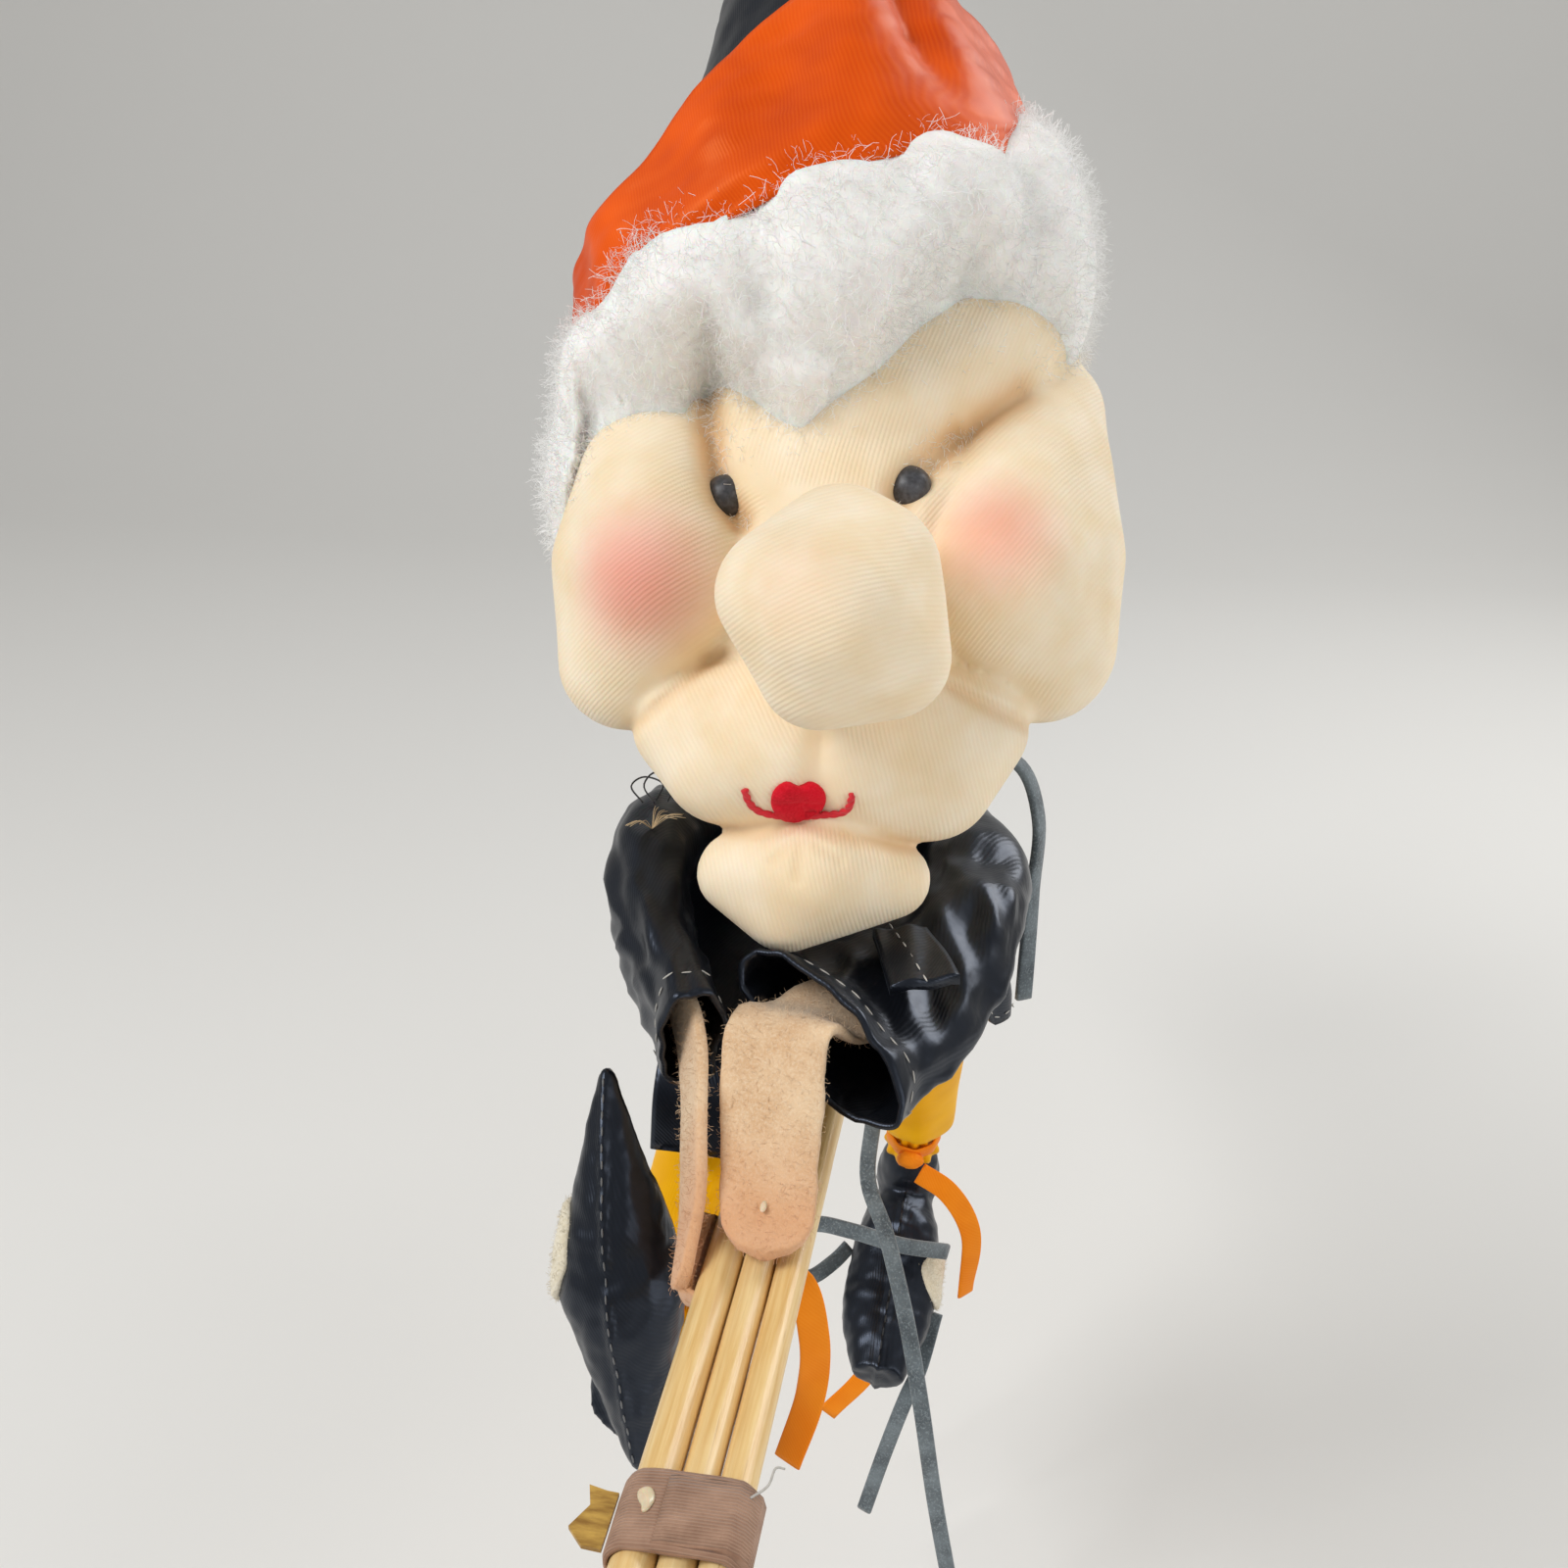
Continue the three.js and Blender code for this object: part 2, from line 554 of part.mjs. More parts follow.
// Head: stuffed and needle-sculpted into lobes, in the head's own frame (x right, y away, z up).
// The skin of each lobe is drawn tight round a few balls of stuffing, given by place and radius.
const skull = { centre: [0, 3, 9], radii: [35, 35, 48] };
const wad = (x, y, z, radius) => ({ centre: [x, y, z], radii: [radius, radius, radius] });
const faceLobes = {
  rightCheek: [
    wad(-28.5, -17, 19, 13), wad(-31.5, -15, 7, 14), wad(-27, -22, 6, 14), wad(-33.5, -15, -8.5, 10.8),
  ],
  leftCheek: [wad(30, -15, 20, 13), wad(32, -15, 8.5, 14.8), wad(26, -22, 5, 14), wad(32.5, -15, -5.2, 13)],
  brow: [wad(-14, -13, 29, 13), wad(2, -17, 29, 14), wad(24, -13, 42, 14), wad(30, -5, 44, 12)],
  nose: [
    wad(0, -47, 6, 9), wad(4.5, -50, 2.5, 9.5), wad(-8.6, -52, -1, 9.2), wad(6.3, -52, -10, 9.2),
    wad(-3, -52, -11.6, 9), wad(-1.5, -57, -4, 11.5), wad(0, -28, -2, 12),
  ],
  rightJowl: [wad(-22.5, -19, -18.5, 9.6), wad(-16.5, -22, -23.8, 11), wad(-9, -25, -21, 13)],
  leftJowl: [wad(21, -19, -19, 10), wad(14, -22, -25.3, 12), wad(4, -25, -21, 13)],
  chin: [
    wad(-15.3, -22, -42, 6.4), wad(8.8, -22, -43, 6.2), wad(-7.5, -24, -46.4, 7.8), wad(-4, -27, -41, 9),
  ],
};

function lobeSolid(wads, grow) {
  return wasm.Manifold.hull(wads.map(({ centre, radii }) => toSolid(ellipsoid(centre, radii, grow, 10, 7))));
}

function headSolid(grow) {
  const lobes = Object.values(faceLobes).map((wads) => lobeSolid(wads, grow));
  return join([toSolid(ellipsoid(skull.centre, skull.radii, grow, 14, 9)), ...lobes]);
}

// Where a needle pushed straight back at a place would meet the face
function faceFront(x, z) {
  const needle = new THREE.BoxGeometry(0.2, 200, 0.2);
  needle.translate(x, -100, z);
  return toSolid(needle).intersect(headSolid(0)).boundingBox().min[1];
}

const eyePlaces = { right: [-17.1, 17], left: [11.5, 18] };

function eyeBall(side, grow) {
  const [x, z] = eyePlaces[side];
  const radius = EYE_DIAMETER / 2;
  return toSolid(ellipsoid([x, faceFront(x, z) + radius / 4, z], [radius, radius, radius], grow, 14, 9));
}

const mouthPlace = [-5.8, -30.2];

function lipShape() {
  const [x, z] = mouthPlace;
  const half = LIP_WIDTH / 2;
  const shape = new THREE.Shape();
  shape.moveTo(x - half, z);
  shape.bezierCurveTo(x - half, z + LIP_HEIGHT * 0.6, x - 1, z + LIP_HEIGHT * 0.65, x, z + LIP_HEIGHT * 0.38);
  shape.bezierCurveTo(x + 1, z + LIP_HEIGHT * 0.65, x + half, z + LIP_HEIGHT * 0.6, x + half, z);
  const lowest = z - LIP_HEIGHT * 0.6;
  shape.bezierCurveTo(x + half * 0.8, lowest, x - half * 0.8, lowest, x - half, z);
  return shape;
}

function lips() {
  const front = faceFront(...mouthPlace) - LIP_THICKNESS;
  const block = extrudeAlongY(lipShape(), front, front + 8);
  return cut(toSolid(block), [headSolid(SEAT)]);
}

// Hair: a wig of batting round the skull, open over the face along the hairline
const hairPuffs = {
  crown: { centre: [0, 8, 14], radii: [43, 37, 50] },
  rightPuff: { centre: [26, -4, 56], radii: [19, 24, 28] },
  leftPuff: { centre: [-33, -2, 23], radii: [15.5, 24, 24] },
  fringe: { centre: [1, -18, 53], radii: [33, 28, 27] },
};

function hairline() {
  const shape = new THREE.Shape();
  shape.moveTo(-70, 8);
  shape.lineTo(-43, 24);
  shape.quadraticCurveTo(-38, 31, -23, 32.5);
  shape.quadraticCurveTo(-21.5, 36.5, -14, 32);
  shape.lineTo(-5.8, 25.5);
  shape.quadraticCurveTo(6, 31, 13, 42.4);
  shape.quadraticCurveTo(23, 51, 34, 40);
  shape.lineTo(70, 30);
  shape.lineTo(70, -90);
  shape.lineTo(-70, -90);
  shape.closePath();
  return shape;
}

function hairSolid(grow) {
  return join(Object.values(hairPuffs).map(({ centre, radii }) => toSolid(ellipsoid(centre, radii, grow))));
}

function hair(neckSpace) {
  const faceOpening = toSolid(extrudeAlongY(hairline(), -90, -6));
  const napeCut = new THREE.BoxGeometry(140, 140, 100);
  napeCut.translate(0, 0, -14 - 50);
  return cut(hairSolid(0), [headSolid(SEAT), faceOpening, toSolid(napeCut), neckSpace]);
}

// Hat: a slumped cone with a brim turned up against it, lined in orange
const hatPlace = new THREE.Matrix4().makeRotationFromQuaternion(
  new THREE.Quaternion().setFromUnitVectors(point(0, 0, 1), point(-0.36, 0.16, 0.92).normalize()),
).setPosition(-2, 0, 54);
const coneSections = [
  { z: -12, radius: HAT_RADIUS - 1, lean: 0 },
  { z: 0, radius: HAT_RADIUS, lean: 0 },
  { z: 22, radius: 34.5, lean: 4 },
  { z: 46, radius: 25, lean: 12 },
  { z: 72, radius: 15, lean: 23 },
  { z: 94, radius: 6.5, lean: 34 },
  { z: 106, radius: 1.6, lean: 41 },
];

function coneAt(z) {
  const last = coneSections.length - 2;
  const found = coneSections.findIndex((s, i) => i <= last && z <= coneSections[i + 1].z);
  const low = found < 0 ? last : found;
  const [from, to] = [coneSections[low], coneSections[low + 1]];
  const share = (z - from.z) / (to.z - from.z);
  return { radius: lerp(from.radius, to.radius, share), lean: lerp(from.lean, to.lean, share) };
}

const hatSides = 28;

function hatRing(z, radiusAt) {
  const { radius, lean } = coneAt(z);
  return Array.from({ length: hatSides }, (_, k) => {
    const angle = (2 * Math.PI * k) / hatSides;
    const r = radiusAt(radius, angle);
    return point(lean + r * Math.cos(angle), r * Math.sin(angle), z);
  });
}

function hatCone(grow) {
  const rings = coneSections.map(({ z }) => hatRing(z, (radius) => radius + grow));
  return toSolid(loft(rings), hatPlace);
}

// One layer of the turned-up brim, standing off the cone by the given distance
function brimLayer(standOff) {
  const rows = [0, 0.5, 1];
  const rings = (outside) => rows.map((t) => {
    const ring = Array.from({ length: hatSides }, (_, k) => {
      const angle = (2 * Math.PI * k) / hatSides;
      const toFront = Math.max(0, Math.cos(angle + Math.PI / 2 - radians(BRIM_PEAK_TURN))) ** 2;
      const z = t * lerp(BRIM_SIDE_HEIGHT, BRIM_FRONT_HEIGHT, toFront);
      const { radius, lean } = coneAt(z);
      const wave = t * (2 + 1.2 * Math.cos(5 * angle + 0.6));
      const r = radius + standOff + wave + (outside ? BRIM_CLOTH : 0);
      return point(lean + r * Math.cos(angle), r * Math.sin(angle), z);
    });
    return ring;
  });
  return toSolid(garment(rings(true), rings(false)), hatPlace);
}

const headFrame = new THREE.Matrix4().makeRotationFromEuler(
  new THREE.Euler(-radians(HEAD_TIP_BACK), 0, radians(HEAD_YAW), 'ZYX'),
).setPosition(HEAD_CENTRE);

function headGroup() {
  const group = new THREE.Group();
  group.applyMatrix4(headFrame);
  const toHead = headFrame.clone().invert();
  const neckSpace = neckBall(RUNNING).add(neckColumn(3)).transform(toHead.toArray());
  const eyes = ['left', 'right'].map((side) => eyeBall(side, SEAT));
  const head = cut(headSolid(0), [neckSpace, ...eyes]);
  group.add(named('head', toGeometry(head), nylonSkin));
  for (const side of ['left', 'right']) {
    group.add(named(`${side}_eye`, toGeometry(eyeBall(side, 0)), darkBead));
  }
  group.add(named('lips', toGeometry(lips()), redFelt));
  group.add(named('hair', toGeometry(hair(neckSpace)), batting));
  const underHat = [hairSolid(SEAT)];
  const seated = (solid) => toGeometry(mainBody(cut(solid, underHat)));
  const brimGap = BRIM_CLOTH + RUNNING;
  group.add(named('hat_cone', seated(hatCone(0)), blackSatin));
  group.add(named('hat_brim', seated(brimLayer(2 * SEAT)), blackSatin));
  group.add(named('hat_brim_lining', seated(brimLayer(2 * SEAT + brimGap)), orangeSatin));
  return group;
}

// Legs: stuffed trouser legs, gathered by a ribbon above the ankle
function trouserGeometry() {
  const end = -(LEG_LENGTH - ANKLE_BALL_RADIUS - SEAT);
  const dome = [75, 50, 25].map(radians).map((angle) =>
    [THIGH_RADIUS * Math.sin(angle), THIGH_RADIUS * Math.cos(angle)]);
  const stations = [
    ...dome,
    [0, THIGH_RADIUS],
    [-20, THIGH_RADIUS + 0.2],
    [-45, THIGH_RADIUS],
    [end + 16, THIGH_RADIUS - 0.4],
    [end + 11, ANKLE_GATHER_RADIUS + 1.2],
    [end + 8, ANKLE_GATHER_RADIUS],
    [end + 3, ANKLE_GATHER_RADIUS],
    [end + 1, ANKLE_GATHER_RADIUS + 1.6],
    [end, ANKLE_GATHER_RADIUS + 1],
  ];
  const profile = [
    new THREE.Vector2(0, end),
    ...stations.toReversed().map(([z, radius]) => new THREE.Vector2(radius, z)),
    new THREE.Vector2(0, THIGH_RADIUS),
  ];
  const leg = new THREE.LatheGeometry(profile, 14);
  leg.rotateX(Math.PI / 2);
  return leg;
}

const bandZ = -(LEG_LENGTH - ANKLE_BALL_RADIUS - SEAT) + RIBBON_WIDTH / 2 + 3;

function ankleRibbon() {
  const inner = ANKLE_GATHER_RADIUS + SEAT;
  const half = RIBBON_WIDTH / 2 - 0.2;
  const profile = [
    new THREE.Vector2(inner, -half),
    new THREE.Vector2(inner + 1.1, -half),
    new THREE.Vector2(inner + 1.1, half),
    new THREE.Vector2(inner, half),
    new THREE.Vector2(inner, -half),
  ];
  const band = new THREE.LatheGeometry(profile, 18);
  band.rotateX(Math.PI / 2);
  band.translate(0, 0, bandZ);
  const knot = ellipsoid([0, -(inner + 2), bandZ], [3.2, 2, 2.6], 0, 10, 6);
  return toSolid(band).add(toSolid(knot));
}

// Boots: a short shaft and a long foot that ends in a point
function footSections() {
  const width = BOOT_HALF_WIDTH;
  const reach = BOOT_TOE_REACH;
  return [
    { at: [0, 10.5, -12], wide: width * 0.2, tall: 2.5 },
    { at: [0, 9, -12.4], wide: width * 0.55, tall: 6 },
    { at: [0, 4, -12.8], wide: width * 0.84, tall: 8.6 },
    { at: [0, -5, -12.8], wide: width * 0.97, tall: 9 },
    { at: [0, -reach * 0.34, -13.6], wide: width, tall: 8.6 },
    { at: [0, -reach * 0.58, -14.8], wide: width * 0.86, tall: 7.6 },
    { at: [0, -reach * 0.79, -15.4], wide: width * 0.6, tall: 5.8 },
    { at: [0, -reach * 0.93, -15], wide: width * 0.32, tall: 3.4 },
    { at: [0, -reach, -14.4], wide: width * 0.1, tall: 1.1 },
  ];
}

function bootSolid(grow) {
  const swollen = footSections().map((s) => ({ ...s, wide: s.wide + grow, tall: s.tall + grow }));
  const foot = toSolid(loft(sectionRings(swollen, point(0, 0, 1), 14)));
  const ball = ANKLE_BALL_RADIUS;
  const profile = [
    new THREE.Vector2(0, -12),
    new THREE.Vector2(8 + grow, -12),
    new THREE.Vector2(7.6 + grow, -6),
    new THREE.Vector2(6.4 + grow, -1),
    new THREE.Vector2(ball * 0.9, ball * 0.42),
    new THREE.Vector2(ball * 0.6, ball * 0.8),
    new THREE.Vector2(0, ball),
  ];
  const shaft = new THREE.LatheGeometry(profile, 14);
  shaft.rotateX(Math.PI / 2);
  return foot.add(toSolid(shaft));
}

function bootPatch(side) {
  const shape = new THREE.Shape();
  shape.absellipse(0, 0, PATCH_LENGTH / 2, PATCH_WIDTH / 2, 0, 2 * Math.PI);
  const depth = BOOT_HALF_WIDTH;
  const outer = BOOT_HALF_WIDTH + PATCH_THICKNESS;
  const place = new THREE.Matrix4().makeBasis(point(0, 1, 0), point(0, 0, 1), point(1, 0, 0));
  const flat = new THREE.ExtrudeGeometry(shape, { depth, bevelEnabled: false, curveSegments: 16 });
  flat.applyMatrix4(place);
  flat.translate(side > 0 ? outer - depth : -outer, -BOOT_TOE_REACH * 0.46, -14);
  return cut(toSolid(flat), [bootSolid(SEAT)]);
}

const legPoses = {
  left: { hipX: HIP_SPREAD, ankle: point(11.2, 141.2, -78.6), bootPitch: 20, bootLean: 5 },
  right: { hipX: -HIP_SPREAD, ankle: point(-18.3, 14, -32.6), bootPitch: -113.6, bootLean: -9 },
};

function legGroup(side) {
  const pose = legPoses[side];
  const hip = point(pose.hipX, HIP_Y, HIP_Z);
  const along = pose.ankle.clone().sub(hip).normalize();
  const group = new THREE.Group();
  const leg = new THREE.Group();
  leg.position.copy(hip);
  leg.quaternion.setFromUnitVectors(point(0, 0, -1), along);
  leg.add(named(`${side}_trouser_leg`, trouserGeometry(), yellowSatin));
  leg.add(named(`${side}_ankle_ribbon`, toGeometry(ankleRibbon()), orangeRibbon));
  const boot = new THREE.Group();
  boot.position.copy(hip).addScaledVector(along, LEG_LENGTH);
  boot.rotation.set(radians(pose.bootPitch), radians(pose.bootLean), 0, 'YXZ');
  boot.add(named(`${side}_boot`, toGeometry(bootSolid(0)), blackSatin));
  const outward = side === 'left' ? 1 : -1;
  boot.add(named(`${side}_boot_patch`, toGeometry(bootPatch(outward)), creamFelt));
  group.add(leg, boot);
  return group;
}

// Ribbon tails: flat satin strips that hang from the ankle bows
function ribbonTail(name, stops, steps) {
  return named(name, strip(smoothStops(stops, steps), RIBBON_THICKNESS), orangeRibbon);
}

const flat = (at) => ({ at, across: [1, 0, 0], width: RIBBON_WIDTH });
const edgeOn = (at) => ({ at, across: [0, 1, 0], width: RIBBON_WIDTH });

function ribbonTails() {
  const leftFront = [[14.2, 128.6, -75], [21, 126.5, -78], [26.5, 126, -88], [26.1, 125, -105]];
  const leftBack = [
    [12, 144, -71.4], [13.5, 160, -82], [13, 162.5, -104], [10, 150, -128], [3, 138, -143], [-7, 134, -155],
  ];
  const right = [
    [-10.9, 24, -28.4], [-4, 23, -21], [3, 21, -18], [6, 20, -28], [5.5, 20, -40], [2, 18, -53],
  ];
  return [
    ribbonTail('left_ribbon_tail_front', leftFront.map(edgeOn), 8),
    ribbonTail('left_ribbon_tail_back', leftBack.map(flat), 12),
    ribbonTail('right_ribbon_tail', right.map(edgeOn), 10),
  ];
}

// Laces: soft suede cords with a flattened section
function lace(name, places, steps) {
  const section = new THREE.Shape(Array.from({ length: 8 }, (_, k) => {
    const angle = (Math.PI * (k + 0.5)) / 4;
    return new THREE.Vector2((LACE_THICKNESS / 2) * Math.cos(angle), (LACE_WIDTH / 2) * Math.sin(angle));
  }));
  const extrudePath = new THREE.CatmullRomCurve3(places.map((p) => point(...p)), false, 'centripetal');
  return named(name, new THREE.ExtrudeGeometry(section, { steps, extrudePath, bevelEnabled: false }), suede);
}

function laces() {
  const loop = [
    [21.4, 124.4, -93], [11, 117, -86.5], [0, 117, -84], [-8, 118, -84], [-14, 120, -90],
    [-14.5, 122, -99], [-10.5, 124, -104.5], [-5, 127.5, -102], [-1.8, 130.6, -99.5],
  ];
  const longTail = [
    [3.6, 126.7, -60.2], [3.5, 119, -71], [8.6, 110, -78], [14.5, 99, -91], [18.8, 92, -107],
    [23, 91, -134.3], [28, 91, -163],
  ];
  const shortTail = [
    [19.7, 119.6, -106.9], [17, 113, -118], [14.5, 110, -124], [10, 110, -141], [5.5, 110, -160],
  ];
  const neckTie = [
    [8.8, 107.4, 33.9], [20, 113, 36], [31, 116, 33], [35.6, 116, 22], [35.4, 115, 5], [35, 115, -18.7],
  ];
  return [
    lace('boot_lace_loop', loop, 14),
    lace('boot_lace_long_tail', longTail, 14),
    lace('boot_lace_short_tail', shortTail, 7),
    lace('neck_lace', neckTie, 10),
  ];
}

const doll = new THREE.Group();
doll.add(...reeds(), frontBinding(), bindingTab(), brush(), brushTie());
doll.add(torso(), dress(), neck());
doll.add(sleeve('left_sleeve', leftSleeveSections), sleeve('right_sleeve', rightSleeveSections));
doll.add(named('left_arm', toGeometry(leftArm()), handFelt));
doll.add(named('right_arm', toGeometry(rightArm()), handFelt));
doll.add(named('neckline_strip', toGeometry(necklineStrip()), blackSatin));
doll.add(headGroup(), legGroup('left'), legGroup('right'));
doll.add(...ribbonTails(), ...laces());
doll.position.copy(HANG_POINT).negate();

export default doll;
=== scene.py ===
import math

import bmesh
import bpy
from mathutils import Matrix, Vector, noise
from mathutils.bvhtree import BVHTree


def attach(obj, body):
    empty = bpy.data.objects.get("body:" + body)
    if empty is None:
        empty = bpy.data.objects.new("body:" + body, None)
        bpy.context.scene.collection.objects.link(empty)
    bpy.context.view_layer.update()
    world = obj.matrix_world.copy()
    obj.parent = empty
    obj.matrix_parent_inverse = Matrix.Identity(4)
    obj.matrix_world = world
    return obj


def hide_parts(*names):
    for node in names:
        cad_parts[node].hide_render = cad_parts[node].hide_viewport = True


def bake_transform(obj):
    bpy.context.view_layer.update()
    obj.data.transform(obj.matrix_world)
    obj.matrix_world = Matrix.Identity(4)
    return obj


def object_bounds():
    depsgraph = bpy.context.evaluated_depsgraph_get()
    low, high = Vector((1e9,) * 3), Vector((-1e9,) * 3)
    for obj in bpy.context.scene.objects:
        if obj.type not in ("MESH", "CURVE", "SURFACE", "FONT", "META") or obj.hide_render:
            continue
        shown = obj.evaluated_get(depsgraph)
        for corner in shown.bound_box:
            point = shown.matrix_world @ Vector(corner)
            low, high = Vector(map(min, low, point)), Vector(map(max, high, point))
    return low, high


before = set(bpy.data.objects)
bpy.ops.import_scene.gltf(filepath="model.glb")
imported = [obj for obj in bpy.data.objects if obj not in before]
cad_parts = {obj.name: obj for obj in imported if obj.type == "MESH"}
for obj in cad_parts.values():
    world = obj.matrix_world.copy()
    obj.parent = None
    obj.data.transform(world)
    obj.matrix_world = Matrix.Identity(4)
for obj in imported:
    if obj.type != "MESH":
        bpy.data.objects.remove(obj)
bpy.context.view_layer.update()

MM = 0.001

# Driving places and sizes of the doll, in mm from the point on the broom's axis where the hands hold it.
# The row frame's origin is the hang point at the back of the collar.
HANG_POINT = Vector((0, 110.5, 33))
HEAD_CENTRE = (-1.3, 83, 71.3)
HEAD_TIP_BACK = 24
HEAD_YAW = 9.5
HIP_SPREAD = 17.5
HIP_Y = 98
LEG_LENGTH = 90
ANKLE = {"left": (11.2, 141.2, -78.6), "right": (-18.3, 14, -32.6)}
BOOT_PITCH = {"left": 20, "right": -113.6}
BOOT_LEAN = {"left": 5, "right": -9}
# The hat's seat in the head's own frame, and the way that its tip points there
HAT_SEAT = (-2, 0, 54)
HAT_AXIS = Vector((-0.36, 0.16, 0.92)).normalized()


def turned(degrees, axis):
    return Matrix.Rotation(math.radians(degrees), 4, axis)


# Each part is drawn in mm in its own frame, and these matrices put it in place in metres
DOLL = Matrix.Scale(MM, 4) @ Matrix.Translation(-HANG_POINT)
HEAD = DOLL @ Matrix.Translation(HEAD_CENTRE) @ turned(HEAD_YAW, "Z") @ turned(-HEAD_TIP_BACK, "X")
HAT_TURN = Vector((0, 0, 1)).rotation_difference(HAT_AXIS).to_matrix().to_4x4()
HAT = HEAD @ Matrix.Translation(HAT_SEAT) @ HAT_TURN


def hip(side):
    return Vector((HIP_SPREAD if side == "left" else -HIP_SPREAD, HIP_Y, 0))


def leg_frame(side):
    along = (Vector(ANKLE[side]) - hip(side)).normalized()
    turn = Vector((0, 0, -1)).rotation_difference(along)
    return DOLL @ Matrix.Translation(hip(side)) @ turn.to_matrix().to_4x4()


def boot_frame(side):
    along = (Vector(ANKLE[side]) - hip(side)).normalized()
    ankle = hip(side) + LEG_LENGTH * along
    return DOLL @ Matrix.Translation(ankle) @ turned(BOOT_LEAN[side], "Y") @ turned(BOOT_PITCH[side], "X")


# Camera

# The photograph's width and the lens's focal length, both in its pixels
PHOTO_SIDE = 1600
FOCAL_PIXELS = 1750
SENSOR = 36
CAMERA_PLACE = (36.69, -192.6, 164.55)
CAMERA_TURN = 9.5
CAMERA_DOWN = 24


def make_camera():
    """The photograph's view, from above and a little round to the doll's left."""
    camera = link("camera", bpy.data.cameras.new("camera"))
    camera.data.sensor_width = SENSOR
    camera.data.lens = SENSOR * FOCAL_PIXELS / PHOTO_SIDE
    camera.data.clip_start = 0.01
    place = DOLL @ Vector(CAMERA_PLACE)
    aim = turned(CAMERA_TURN, "Z") @ turned(90 - CAMERA_DOWN, "X")
    camera.matrix_world = Matrix.Translation(place) @ aim
    bpy.context.scene.camera = camera


# Curves and shapes in mm

def smoothstep(value, low, high):
    t = min(max((value - low) / (high - low), 0), 1)
    return t * t * (3 - 2 * t)


def ripple(p, size, seed=0):
    """Smooth noise from -1 to 1 with features of the given size."""
    return noise.noise(Vector(p) / size + Vector((seed, 3.1 * seed, 7.7 * seed)))


def squared(share, power):
    """A sine or cosine raised towards 1, which squares off the round outline that it draws."""
    return math.copysign(abs(share) ** power, share)


def square_to(direction, way):
    """The part of a direction that stands square to a way."""
    return (direction - way * direction.dot(way)).normalized()


def turns(count):
    """Angles in even steps round a circle."""
    return [2 * math.pi * k / count for k in range(count)]


def circle(radius, z, count):
    return [(radius * math.cos(angle), radius * math.sin(angle), z) for angle in turns(count)]


def blended(values, t):
    """A value read from evenly placed ones at share t."""
    place = min(max(t, 0), 1) * (len(values) - 1)
    low = min(int(place), len(values) - 2)
    share = place - low
    share = share * share * (3 - 2 * share)
    a, b = values[low], values[low + 1]
    if isinstance(a, Vector):
        return a.lerp(b, share)
    return a + (b - a) * share


def curve_through(points, count):
    """Points spaced evenly along a centripetal curve through the given ones."""
    points = [Vector(p) for p in points]
    padded = [2 * points[0] - points[1], *points, 2 * points[-1] - points[-2]]
    parts = 24
    dense = []
    for a, b, c, d in zip(padded, padded[1:], padded[2:], padded[3:]):
        t0 = 0.0
        t1 = t0 + max((b - a).length, 1e-9) ** 0.5
        t2 = t1 + max((c - b).length, 1e-9) ** 0.5
        t3 = t2 + max((d - c).length, 1e-9) ** 0.5
        for step in range(parts):
            t = t1 + (t2 - t1) * step / parts
            a1 = a.lerp(b, (t - t0) / (t1 - t0))
            a2 = b.lerp(c, (t - t1) / (t2 - t1))
            a3 = c.lerp(d, (t - t2) / (t3 - t2))
            b1 = a1.lerp(a2, (t - t0) / (t2 - t0))
            b2 = a2.lerp(a3, (t - t1) / (t3 - t1))
            dense.append(b1.lerp(b2, (t - t1) / (t2 - t1)))
    dense.append(points[-1])
    return spaced(dense, count)


def spaced(points, count):
    """The same line cut into equal steps."""
    reach = [0.0]
    for a, b in zip(points, points[1:]):
        reach.append(reach[-1] + (b - a).length)
    result, row = [], 0
    for k in range(count + 1):
        goal = reach[-1] * k / count
        while row < len(points) - 2 and reach[row + 1] < goal:
            row += 1
        share = (goal - reach[row]) / max(reach[row + 1] - reach[row], 1e-12)
        result.append(points[row].lerp(points[row + 1], min(max(share, 0), 1)))
    return result


def directions(line):
    return [(line[min(i + 1, len(line) - 1)] - line[max(i - 1, 0)]).normalized() for i in range(len(line))]


def loft(rings, closed_start=True, closed_end=True):
    """Corners and faces of a skin through rings of equal count."""
    sides = len(rings[0])
    corners = [c for ring in rings for c in ring]
    faces = []
    for i in range(len(rings) - 1):
        for k in range(sides):
            n = (k + 1) % sides
            faces.append((i * sides + k, i * sides + n, (i + 1) * sides + n, (i + 1) * sides + k))
    for closed, row in ((closed_start, 0), (closed_end, len(rings) - 1)):
        if closed:
            middle = sum((Vector(c) for c in rings[row]), Vector()) / sides
            corners.append(middle)
            start = row * sides
            faces += [(start + k, start + (k + 1) % sides, len(corners) - 1) for k in range(sides)]
    return corners, faces


def hoop(rings):
    """A skin through rings whose last one joins the first, as on a band with inner and outer sides."""
    corners, faces = loft(rings, False, False)
    sides = len(rings[0])
    last = (len(rings) - 1) * sides
    faces += [(k, (k + 1) % sides, last + (k + 1) % sides, last + k) for k in range(sides)]
    return corners, faces


def ball(centre, radii, across=32, down=20):
    """Corners and faces of an ellipsoid."""
    rings = []
    for i in range(1, down):
        polar = math.pi * i / down
        rings.append([
            (
                centre[0] + radii[0] * math.sin(polar) * math.cos(angle),
                centre[1] + radii[1] * math.sin(polar) * math.sin(angle),
                centre[2] + radii[2] * math.cos(polar),
            )
            for angle in turns(across)
        ])
    return loft(rings)


def rod(line, radii, sides=12):
    """A round tube along a line, with a radius for each of its points."""
    aim = directions(line)
    side = aim[0].orthogonal().normalized()
    rings = []
    for p, d, r in zip(line, aim, radii):
        side = square_to(side, d)
        other = d.cross(side)
        rings.append([p + r * (math.cos(angle) * side + math.sin(angle) * other) for angle in turns(sides)])
    return loft(rings)


